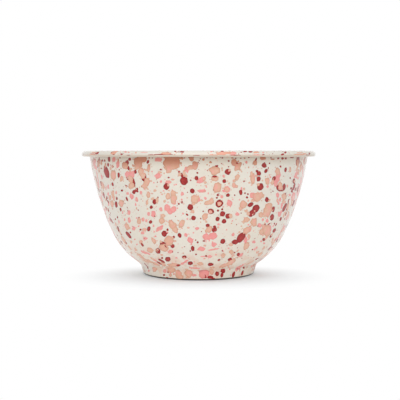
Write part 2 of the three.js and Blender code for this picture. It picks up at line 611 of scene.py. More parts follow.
@dataclass
class EnamelCoats:
    """The three fired coats, drawn on the faces of the steel."""

    body: DrawnBody
    thickness: float
    tight_fillet: float = 1.5
    pooled_fillet: float = 11.0
    fillet_steps: int = 8

    def even(self, line: list[Vector]) -> CoatFaces:
        """A coat of even thickness on the left of a line."""
        return CoatFaces(line, offset_line(line, self.thickness)[::-1])

    def inside(self) -> CoatFaces:
        """The coat over the inside, the crest and the bead."""
        return self.even(self.body.path.left(0, self.body.path.last))

    def underside(self) -> CoatFaces:
        """The coat under the base, over the weld and inside the foot."""
        body, foot = self.body, self.body.foot
        return self.even([*foot.path.left(0, foot.weld_toe), *body.path.right(body.weld_toe, 0)])

    def outside(self, fillet: float) -> CoatFaces:
        """The coat on the wall and the foot.

        Args:
            fillet: Radius of the glass pooled in the corner above the foot.

        Returns:
            Its faces, with as many points whatever the fillet is.
        """
        body, foot = self.body, self.body.foot
        wall_line = body.path.right(body.wall_top, body.joint)
        foot_line = foot.path.right(foot.top, foot.enamel_end)
        wall, side = offset_line(wall_line, self.thickness), offset_line(foot_line, self.thickness)
        corner = crossing(wall[-1], body.joint_slope, side[0], foot.lean)
        half_turn = math.tan((foot.lean - body.joint_slope) / 2)
        room = self.pooled_fillet * half_turn
        upper = [point for point in wall if (point - corner).dot(along(body.joint_slope)) > room]
        start = corner + along(body.joint_slope) * fillet * half_turn
        end = corner - along(foot.lean) * fillet * half_turn
        pool = []
        for step in range(self.fillet_steps + 1):
            share = step / self.fillet_steps
            pool.append(start.lerp(corner, share).lerp(corner.lerp(end, share), share))
        gloss = [*upper, *pool, *side[1:]]
        return CoatFaces([*wall_line, *foot_line], gloss[::-1])


class NodeTool:
    """A geometry nodes tree with named inputs, which makes pieces out of plain meshes."""

    inputs: dict[str, str] = {}

    def __init__(self, name: str, settings: dict[str, float]) -> None:
        """Makes the tree.

        Args:
            name: The tree's name.
            settings: Values of those inputs that are the same for every piece.
        """
        self.settings = settings
        self.tree = bpy.data.node_groups.new(name, "GeometryNodeTree")
        labels = {"Geometry": "Geometry", **self.inputs, "Material": "Material"}
        self.sockets = {label: self.add_socket(label, kind, "INPUT") for label, kind in labels.items()}
        self.add_socket("Geometry", "Geometry", "OUTPUT")
        self.wire(Graph(self.tree))

    def add_socket(self, label: str, kind: str, way: str) -> bpy.types.NodeTreeInterfaceSocket:
        """Adds an input or an output to the tree."""
        return self.tree.interface.new_socket(label, in_out=way, socket_type=f"NodeSocket{kind}")

    def wire(self, graph: Graph) -> None:
        """Adds the tree's nodes and links."""
        raise NotImplementedError

    def run(self, name: str, mesh: bpy.types.Mesh, settings: dict[str, object]) -> bpy.types.Object:
        """Runs the tree on a mesh and keeps the result.

        Args:
            name: Name of the piece.
            mesh: The mesh that the tree starts from.
            settings: Values of the piece's own inputs, by name.

        Returns:
            The piece, with the result as a plain mesh and no modifier.
        """
        piece = bpy.data.objects.new(name, mesh)
        bpy.context.scene.collection.objects.link(piece)
        modifier = piece.modifiers.new(self.tree.name, "NODES")
        modifier.node_group = self.tree
        for label, value in {**self.settings, **settings}.items():
            modifier[self.sockets[label].identifier] = value
        depsgraph = bpy.context.evaluated_depsgraph_get()
        result = bpy.data.meshes.new_from_object(
            piece.evaluated_get(depsgraph), preserve_all_data_layers=True, depsgraph=depsgraph
        )
        piece.modifiers.clear()
        piece.data = result
        bpy.data.meshes.remove(mesh)
        result.name = name
        return piece


class Lathe(NodeTool):
    """Turns a section round the axis."""

    inputs = {"Sides": "Int", "Crease": "Float", "Pool Bearing": "Float"}
    merge_distance = 1e-6

    def __init__(self, sides: int = 288, crease: float = math.radians(35)) -> None:
        """Builds the tree, for so many flats round the axis and edges that are sharp past an angle."""
        super().__init__("lathe", {"Sides": sides, "Crease": crease})

    def wire(self, graph: Graph) -> None:
        """Adds the tree's nodes and links.

        Args:
            graph: The empty tree.
        """
        section = graph.node("NodeGroupInput")
        sides = section.other("Sides")
        count = graph.node("GeometryNodeAttributeDomainSize", {"component": "MESH"}, {"Geometry": section})
        grid = graph.node("GeometryNodeMeshGrid", sockets={"Vertices X": sides + 1, "Vertices Y": count})
        index = graph.node("GeometryNodeInputIndex")
        vectors = {"data_type": "FLOAT_VECTOR", "domain": "POINT"}

        def on_section(value: Wire) -> Wire:
            """A vector of the section's point that a point of the grid stands for."""
            sockets = {"Geometry": section, "Value": value, "Index": index % count}
            return graph.node("GeometryNodeSampleIndex", vectors, sockets)

        tight = on_section(graph.node("GeometryNodeInputPosition"))
        pooled = on_section(graph.named("pooled", "FLOAT_VECTOR"))
        bearing = (index / count).floor() / sides * math.tau
        share = ((bearing - section.other("Pool Bearing")).cosine() * 0.5 + 0.5).eased(0.0, 1.0)
        point = graph.node("ShaderNodeSeparateXYZ", sockets={0: graph.mixed_vector(share, tight, pooled)})
        radius = point.other("X")
        turned = {"X": radius * bearing.sine(), "Y": radius * bearing.cosine() * -1, "Z": point.other("Z")}
        place = graph.node("ShaderNodeCombineXYZ", sockets=turned)
        shape = graph.node("GeometryNodeSetPosition", sockets={"Geometry": grid, "Position": place})
        merge = {"Geometry": shape, "Distance": self.merge_distance}
        shape = graph.node("GeometryNodeMergeByDistance", sockets=merge)
        shape = graph.node("GeometryNodeSetShadeSmooth", sockets={"Geometry": shape})
        corner = graph.node("GeometryNodeInputMeshEdgeAngle") > section.other("Crease")
        sharp = {"Geometry": shape, "Selection": corner, "Shade Smooth": False}
        shape = graph.node("GeometryNodeSetShadeSmooth", {"domain": "EDGE"}, sharp)
        shape = graph.node("GeometryNodeRealizeInstances", sockets={"Geometry": shape})
        finish = {"Geometry": shape, "Material": section.other("Material")}
        graph.node("NodeGroupOutput", sockets={0: graph.node("GeometryNodeSetMaterial", sockets=finish)})

    def turn(
        self,
        name: str,
        section: Sequence[Vector],
        material: bpy.types.Material,
        pooled: Optional[Sequence[Vector]] = None,
        pool_bearing: float = 0.0,
    ) -> bpy.types.Object:
        """Makes one piece.

        Args:
            name: The piece's name.
            section: Its section as a loop with the solid on the left, in millimetres.
            material: Its finish.
            pooled: The section on the side where the enamel has pooled, if it differs.
            pool_bearing: Bearing of the middle of that side.

        Returns:
            The piece, as a plain mesh in metres.
        """
        loop = [*section, section[0]]
        other = [*pooled, pooled[0]] if pooled else loop
        mesh = bpy.data.meshes.new(name)
        mesh.from_pydata([(point.x * MM, 0, point.y * MM) for point in loop], [], [])
        stored = mesh.attributes.new("pooled", "FLOAT_VECTOR", "POINT")
        stored.data.foreach_set("vector", [value for p in other for value in (p.x * MM, 0, p.y * MM)])
        return self.run(name, mesh, {"Pool Bearing": pool_bearing, "Material": material})


def new_material(name: str) -> tuple[bpy.types.Material, Graph, Wire]:
    """Starts a node material.

    Args:
        name: The material's name.

    Returns:
        The material, its graph and the object coordinates in it.
    """
    material = bpy.data.materials.new(name)
    material.use_nodes = True
    graph = Graph(material.node_tree)
    return material, graph, graph.node("ShaderNodeTexCoord", output="Object")


class Finish:
    """A surface finish, which builds its own material."""

    name: str

    def surface(self, graph: Graph, place: Wire) -> dict[str, Input]:
        """Values or wires for the surface shader's inputs, from the object coordinates."""
        raise NotImplementedError

    def material(self) -> bpy.types.Material:
        """Builds the material.

        Returns:
            The finished material.
        """
        material, graph, place = new_material(self.name)
        surface = graph.node("ShaderNodeBsdfPrincipled", sockets=self.surface(graph, place))
        graph.node("ShaderNodeOutputMaterial", sockets={"Surface": surface})
        return material


@dataclass(frozen=True)
class CreamEnamel(Finish):
    """Cover coat of cream glass, with a mist of specks and faint ripples. Lengths are in millimetres."""

    name: str
    colour: Colour = srgb(228, 223, 212)
    roughness: float = 0.1
    warm_colour: Colour = srgb(226, 219, 205)
    cloud_scale: float = 14.0
    cloud_detail: float = 3.0
    cloud_range: Range = (0.35, 0.7)
    grain_colour: Colour = srgb(219, 211, 198)
    grain_scale: float = 520.0
    grain_range: Range = (0.45, 0.75)
    grain_share: float = 0.4
    blush_colour: Colour = srgb(223, 192, 170)
    blush_scale: float = 85.0
    blush_range: Range = (0.47, 0.6)
    blush_heights: Range = (16.0, 48.0)
    blush_share: float = 0.0
    speck_colour: Colour = srgb(228, 174, 160)
    dark_speck_colour: Colour = srgb(176, 96, 88)
    speck_scale: float = 330.0
    smallest_speck: float = 0.1
    speck_growth: float = 0.2
    speck_chance: float = 0.26
    pale_chance: float = 0.8
    speck_share: float = 0.75
    # Painted shade under the rim and on the bead's underside, fading out towards the crest
    under_rim_shade_colour: Colour = srgb(204, 190, 172)
    under_rim_shade_radii: Range = (122.0, 125.0)
    crest_heights: Range = (130.7, 132.7)
    # A dark band at the foot's lower edge, partly the bare dark ground coat and partly painted contact
    # shadow
    bare_edge_and_contact_shade_colour: Colour = srgb(60, 51, 44)
    bare_edge_and_contact_shade_heights: Optional[Range] = None
    ripple_scale: float = 90.0
    ripple_strength: float = 0.05

    def ground(self, graph: Graph, place: Wire) -> Wire:
        """The cream with its clouds and grain.

        Args:
            graph: The material's graph.
            place: The object coordinates.

        Returns:
            The colour.
        """
        cloud = graph.noise(place, self.cloud_scale, self.cloud_detail).eased(*self.cloud_range)
        grain = graph.noise(place, self.grain_scale).eased(*self.grain_range) * self.grain_share
        clouded = graph.mixed_colour(cloud, self.colour, self.warm_colour)
        return graph.mixed_colour(grain, clouded, self.grain_colour)

    def specked(self, graph: Graph, place: Wire, colour: Wire) -> Wire:
        """A colour with the mist of specks over it.

        Args:
            graph: The material's graph.
            place: The object coordinates.
            colour: The colour under the specks.

        Returns:
            The specked colour.
        """
        cell = graph.node("ShaderNodeTexVoronoi", sockets={"Vector": place, "Scale": self.speck_scale})
        chance = graph.node("ShaderNodeSeparateColor", sockets={"Color": cell.other("Color")})
        size = chance.other("Green") * self.speck_growth + self.smallest_speck
        speck = (cell < size) * (chance < self.speck_chance) * self.speck_share
        dark = chance.other("Blue") > self.pale_chance
        tone = graph.mixed_colour(dark, self.speck_colour, self.dark_speck_colour)
        return graph.mixed_colour(speck, colour, tone)

    def surface(self, graph: Graph, place: Wire) -> dict[str, Input]:
        """The coat's shading.

        Args:
            graph: The material's graph.
            place: The object coordinates.

        Returns:
            Values or wires for the surface shader's inputs.
        """
        height = graph.rise(place) / MM
        radius = graph.length(graph.flat(place)) / MM
        colour = self.ground(graph, place)
        if self.blush_share:
            low = 1 - height.eased(*self.blush_heights)
            blush = graph.noise(place, self.blush_scale).eased(*self.blush_range) * low * self.blush_share
            colour = graph.mixed_colour(blush, colour, self.blush_colour)
        colour = self.specked(graph, place, colour)
        # Painted shade under the rim and on the bead's underside, fading out towards the crest
        under_rim_shade = radius.eased(*self.under_rim_shade_radii) * (1 - height.eased(*self.crest_heights))
        colour = graph.mixed_colour(under_rim_shade, colour, self.under_rim_shade_colour)
        # A dark band at the foot's lower edge, partly the bare dark ground coat and partly painted contact
        # shadow
        if self.bare_edge_and_contact_shade_heights:
            bare_edge_and_contact_shade = 1 - height.eased(*self.bare_edge_and_contact_shade_heights)
            colour = graph.mixed_colour(bare_edge_and_contact_shade, colour, self.bare_edge_and_contact_shade_colour)
        ripple = graph.noise(place, self.ripple_scale)
        bump = {"Height": ripple, "Strength": self.ripple_strength, "Distance": MM}
        normal = graph.node("ShaderNodeBump", sockets=bump)
        return {"Base Color": colour, "Roughness": self.roughness, "IOR": GLASS_INDEX, "Normal": normal}


@dataclass(frozen=True)
class DropEnamel(Finish):
    """Coloured glass of the drops, darker at the edge, with painted shade under the rim and a separate
    painted lit tone on the bead. Lengths are in millimetres.
    """

    name: str
    middle: Colour
    edge: Colour
    pale: Colour
    # Painted shade: the drops' colour where they lie in the shade under the rim
    shaded_under_rim: Colour
    # Painted light: drops on the bead take this separate tone, set for how the rim is lit
    crest: Colour
    run_in: Colour
    open_middle: Colour
    roughness: float = 0.09
    mottle_scale: float = 420.0
    mottle_range: Range = (0.42, 0.75)
    mottle_share: float = 0.75
    seed_share: float = 0.35
    heart_range: Range = (0.1, 0.75)
    heart_share: float = 0.25
    full_colour: float = 0.1
    run_scale: float = 190.0
    run_detail: float = 3.0
    run_range: Range = (0.5, 0.64)
    run_share: float = 0.75
    edge_range: Range = (0.55, 0.95)
    edge_share: float = 0.8
    ring_width: float = 3.4
    ring_range: Range = (0.2, 0.6)
    # Heights over which the painted shade under the rim comes in, and where it stops at the bead
    shaded_under_rim_heights: Range = (115.0, 127.0)
    bead_heights: Range = (130.0, 131.0)
    shaded_under_rim_share: float = 0.9
    # Radii from which the painted lit tone on the bead comes in
    lit_crest_radii: Range = (121.0, 123.0)
    lit_crest_share: float = 0.7

    def surface(self, graph: Graph, place: Wire) -> dict[str, Input]:
        """The drops' shading, from what is stored on each drop and from where it landed.

        Args:
            graph: The material's graph.
            place: The object coordinates.

        Returns:
            Values or wires for the surface shader's inputs.
        """
        seed, spread = graph.attribute("seed"), graph.attribute("spread")
        mottle = graph.noise(place, self.mottle_scale).eased(*self.mottle_range) * self.mottle_share
        heart = (1 - spread.eased(*self.heart_range)) * self.heart_share
        light = (mottle + seed * self.seed_share + heart - self.full_colour).larger(0.0)
        colour = graph.mixed_colour(light, self.middle, self.pale)
        run = graph.noise(place, self.run_scale, self.run_detail).eased(*self.run_range)
        colour = graph.mixed_colour(run * self.run_share, colour, self.run_in)
        colour = graph.mixed_colour(spread.eased(*self.edge_range) * self.edge_share, colour, self.edge)
        ring = (graph.attribute("width") > self.ring_width * MM) * (seed > RING_SEED)
        colour = graph.mixed_colour(ring * (1 - spread.eased(*self.ring_range)), colour, self.open_middle)
        height = graph.rise(place) / MM
        # Painted shade under the rim, stopping at the bead
        shaded_under_rim = height.eased(*self.shaded_under_rim_heights) * (1 - height.eased(*self.bead_heights))
        colour = graph.mixed_colour(shaded_under_rim * self.shaded_under_rim_share, colour, self.shaded_under_rim)
        # Painted light: a separate lit tone for the drops on the bead
        radius = graph.length(graph.flat(place)) / MM
        crest = radius.eased(*self.lit_crest_radii) * self.lit_crest_share
        colour = graph.mixed_colour(crest, colour, self.crest)
        return {"Base Color": colour, "Roughness": self.roughness, "IOR": GLASS_INDEX}


@dataclass(frozen=True)
class BareSteel(Finish):
    """Steel with streaks along the direction in which it was worked."""

    name: str
    colour: Colour
    dull: Colour
    roughness: float
    streak_scale: tuple[float, float, float] = (60.0, 60.0, 900.0)
    streak_detail: float = 4.0
    streak_roughness: float = 0.2

    def surface(self, graph: Graph, place: Wire) -> dict[str, Input]:
        """The steel's shading.

        Args:
            graph: The material's graph.
            place: The object coordinates.

        Returns:
            Values or wires for the surface shader's inputs.
        """
        squeezed = graph.node("ShaderNodeMapping", sockets={"Vector": place, "Scale": self.streak_scale})
        streak = graph.noise(squeezed, 1.0, self.streak_detail)
        colour = graph.mixed_colour(streak, self.colour, self.dull)
        roughness = streak * self.streak_roughness + self.roughness
        return {"Base Color": colour, "Roughness": roughness, "Metallic": 1.0}


DROP_GLASS = {
    Tint.PINK: DropEnamel(
        "pink",
        middle=srgb(235, 149, 146),
        edge=srgb(229, 138, 135),
        pale=srgb(238, 166, 160),
        shaded_under_rim=srgb(212, 132, 122),
        crest=srgb(238, 164, 152),
        run_in=srgb(232, 162, 148),
        open_middle=srgb(236, 190, 178),
    ),
    Tint.PEACH: DropEnamel(
        "peach",
        middle=srgb(221, 172, 146),
        edge=srgb(211, 154, 127),
        pale=srgb(228, 186, 164),
        shaded_under_rim=srgb(182, 114, 82),
        crest=srgb(230, 160, 132),
        run_in=srgb(234, 166, 154),
        open_middle=srgb(228, 196, 172),
    ),
    Tint.BURGUNDY: DropEnamel(
        "burgundy",
        middle=srgb(154, 12, 14),
        edge=srgb(134, 4, 8),
        pale=srgb(178, 56, 48),
        shaded_under_rim=srgb(146, 40, 36),
        crest=srgb(160, 14, 14),
        run_in=srgb(162, 40, 34),
        open_middle=srgb(222, 166, 142),
    ),
}


@dataclass(frozen=True)
class Drop:
    """One drop of coloured enamel: where it landed and how far it spread."""

    tint: Tint
    place: Vector
    width: float
    length: float
    turn: float
    lift: float
    ragged: float
    seed: float


class DropPress(NodeTool):
    """Lays drops on a coat as thin lenses of glass."""

    inputs = {
        "Coat": "Object",
        "Shoulder": "Float",
        "Speck": "Float",
        "Blot": "Float",
        "Curl": "Float",
        "Sink": "Float",
    }
    units = {"width": MM, "length": MM, "turn": 1.0, "lift": MM, "ragged": 1.0, "seed": 1.0}
    # Points round the rim of a blank, and rings of faces from its middle to its shoulder
    speck_blank = (8, 1)
    drop_blank = (18, 1)
    blot_blank = (28, 2)
    blank_depth = 1e-5
    lobe_scale = 1.3
    lobe_detail = 0.6
    lobe_seeds = 97.0
    probe_height = 1.2 * MM
    dome_height = 1.3
    dome_fall = 0.4

    def __init__(
        self,
        shoulder: float = 0.84,
        speck: float = 2.4 * MM,
        blot: float = 6.0 * MM,
        curl: float = 130.0 * MM,
        sink: float = 0.02 * MM,
    ) -> None:
        """Builds the tree.

        Args:
            shoulder: Share of a drop's width at which its edge starts to fall.
            speck: Width under which a drop gets few faces.
            blot: Width over which a drop gets more faces.
            curl: Height above which the rim curls so tightly that a drop gets more faces too.
            sink: How far a drop's edge reaches into the coat.
        """
        settings = {"Shoulder": shoulder, "Speck": speck, "Blot": blot, "Curl": curl, "Sink": sink}
        super().__init__("drop_press", settings)

    def blank(self, graph: Graph, shoulder: Wire, rim: int, rings: int) -> Wire:
        """A round drop of unit radius, with its own flat coordinates stored on it.

        Args:
            graph: The tree.
            shoulder: Radius of its top.
            rim: Points round its rim.
            rings: Rings of faces from the middle to the shoulder.

        Returns:
            The blank.
        """
        radii = {"Radius Top": shoulder, "Radius Bottom": 1.0, "Depth": self.blank_depth}
        sockets = {"Vertices": rim, "Fill Segments": rings, **radii}
        cone = graph.node("GeometryNodeMeshCone", {"fill_type": "TRIANGLE_FAN"}, sockets)
        position = graph.node("GeometryNodeInputPosition")
        flat = graph.flat(position)
        shape = graph.stored(cone, "flat", flat, "FLOAT_VECTOR")
        shape = graph.stored(shape, "spread", graph.length(flat))
        return graph.stored(shape, "top", graph.rise(position) / self.blank_depth)

    def wire(self, graph: Graph) -> None:
        """Adds the tree's nodes and links.

        Args:
            graph: The empty tree.
        """
        given = graph.node("NodeGroupInput")
        source = {"Object": given.other("Coat")}
        coat = graph.node("GeometryNodeObjectInfo", sockets=source, output="Geometry")
        position = graph.node("GeometryNodeInputPosition")
        normal = graph.node("GeometryNodeInputNormal")

        def on_coat(value: Wire, place: Wire) -> Wire:
            """A value of the coat at its point nearest a place."""
            sockets = {"Mesh": coat, "Value": value, "Sample Position": place}
            return graph.node("GeometryNodeSampleNearestSurface", {"data_type": "FLOAT_VECTOR"}, sockets)

        points = graph.stored(given, "facing", on_coat(normal, position), "FLOAT_VECTOR")
        points = graph.stored(points, "middle", position, "FLOAT_VECTOR")
        blanks = self.laid(graph, given, points, position)
        shape = graph.node("GeometryNodeRealizeInstances", sockets={"Geometry": blanks})

        middle, facing = graph.named("middle", "FLOAT_VECTOR"), graph.named("facing", "FLOAT_VECTOR")
        reach = graph.scaled(graph.vector("SUBTRACT", position, middle), self.stretch(graph))
        spot = graph.vector("ADD", middle, reach)
        probe = graph.vector("ADD", spot, graph.scaled(facing, self.probe_height))
        spread, top = graph.named("spread"), graph.named("top")
        dome = top * graph.named("lift") * (self.dome_height - spread * spread * self.dome_fall)
        height = dome - (1 - top) * given.other("Sink")
        place = graph.vector("ADD", on_coat(position, probe), graph.scaled(on_coat(normal, probe), height))
        shape = graph.node("GeometryNodeSetPosition", sockets={"Geometry": shape, "Position": place})
        shape = graph.node("GeometryNodeSetShadeSmooth", sockets={"Geometry": shape})
        finish = {"Geometry": shape, "Material": given.other("Material")}
        graph.node("NodeGroupOutput", sockets={0: graph.node("GeometryNodeSetMaterial", sockets=finish)})

    def laid(self, graph: Graph, given: Wire, points: Wire, position: Wire) -> Wire:
        """Blanks laid flat on the coat, with more faces where a drop is large.

        Args:
            graph: The tree.
            given: The tree's inputs.
            points: The drops' places, with the coat's normals stored on them.
            position: The place of a point.

        Returns:
            The blanks as instances.
        """
        out = {"Vector": graph.named("facing", "FLOAT_VECTOR")}
        turned = graph.node("FunctionNodeAlignRotationToVector", {"axis": "Z"}, out)
        upright = {"Rotation": turned, "Vector": (0.0, 0.0, 1.0)}
        turned = graph.node("FunctionNodeAlignRotationToVector", {"axis": "Y", "pivot_axis": "Z"}, upright)
        lean = {"Axis": (0.0, 0.0, 1.0), "Angle": graph.named("turn")}
        spin = graph.node("FunctionNodeAxisAngleToRotation", sockets=lean)
        spun = {"Rotation": turned, "Rotate By": spin}
        turned = graph.node("FunctionNodeRotateRotation", {"rotation_space": "LOCAL"}, spun)
        width, length = graph.named("width"), graph.named("length")
        scale = graph.node("ShaderNodeCombineXYZ", sockets={"X": width * 0.5, "Y": length * 0.5, "Z": 1.0})
        small = width < given.other("Speck")
        curled = graph.rise(position) > given.other("Curl")
        large = (width > given.other("Blot")).larger(curled * (1 - small))
        chosen = {self.speck_blank: small, self.drop_blank: 1 - small - large, self.blot_blank: large}
        kinds = []
        for faces, selection in chosen.items():
            blank = self.blank(graph, given.other("Shoulder"), *faces)
            sockets = {"Points": points, "Selection": selection, "Instance": blank}
            pose = {"Rotation": turned, "Scale": scale}
            kinds.append(graph.node("GeometryNodeInstanceOnPoints", sockets={**sockets, **pose}))
        return graph.node("GeometryNodeJoinGeometry", sockets={0: kinds})

    def stretch(self, graph: Graph) -> Wire:
        """How far a drop ran in each direction, which gives it a ragged outline.

        Args:
            graph: The tree.

        Returns:
            A factor of about 1 for the distance from the drop's middle.
        """
        direction = graph.vector("NORMALIZE", graph.named("flat", "FLOAT_VECTOR"))
        lobes = {"Vector": direction, "W": graph.named("seed") * self.lobe_seeds}
        lobes |= {"Scale": self.lobe_scale, "Detail": self.lobe_detail}
        noise = graph.node("ShaderNodeTexNoise", {"noise_dimensions": "4D"}, lobes)
        return (noise - 0.5) * 2 * graph.named("ragged") + 1

    def lay(
        self, name: str, drops: Sequence[Drop], coat: bpy.types.Object, material: bpy.types.Material
    ) -> bpy.types.Object:
        """Makes one piece of many drops.

        Args:
            name: The piece's name.
            drops: The drops, in millimetres.
            coat: The coat that they lie on.
            material: Their finish.

        Returns:
            The piece, as a plain mesh in metres.
        """
        mesh = bpy.data.meshes.new(name)
        mesh.from_pydata([drop.place * MM for drop in drops], [], [])
        for label, unit in self.units.items():
            values = [getattr(drop, label) * unit for drop in drops]
            mesh.attributes.new(label, "FLOAT", "POINT").data.foreach_set("value", values)
        return self.run(name, mesh, {"Coat": coat, "Material": material})


@dataclass(frozen=True)
class DropKind:
    """A range of drop sizes of one tint, and how many land on each square decimetre."""

    tint: Tint
    density: float
    smallest: float
    largest: float
    stretch: float = 1.4
    ragged: float = 0.3

    @property
    def fine(self) -> bool:
        """Whether these are specks, too small to be placed one by one."""
        return self.largest < SPECK_LIMIT


DROP_KINDS = (
    DropKind(Tint.PINK, 50, 0.7, 1.9),
    DropKind(Tint.PINK, 48, 2.0, 6.5, ragged=0.6),
    DropKind(Tint.PINK, 7, 7.0, 12.0, ragged=0.9),
    DropKind(Tint.PEACH, 55, 0.7, 1.9),
    DropKind(Tint.PEACH, 58, 2.2, 7.5, ragged=0.6),
    DropKind(Tint.PEACH, 15, 8.0, 14.0, ragged=0.9),
    DropKind(Tint.BURGUNDY, 36, 0.7, 1.6),
    DropKind(Tint.BURGUNDY, 54, 1.8, 5.6),
    DropKind(Tint.BURGUNDY, 7, 6.0, 9.5, ragged=0.7),
)


@dataclass(frozen=True)
class Splash:
    """A drop as the photograph shows it, in pixels of its frame of 400 by 400."""

    x: float
    y: float
    wide: float
    tall: float
    lean: float = 0.0


def splashes(*rows: tuple[float, ...]) -> list[Splash]:
    """Splashes from rows of x, y, width, height and, if it leans, degrees to the right."""
    return [Splash(*row) for row in rows]


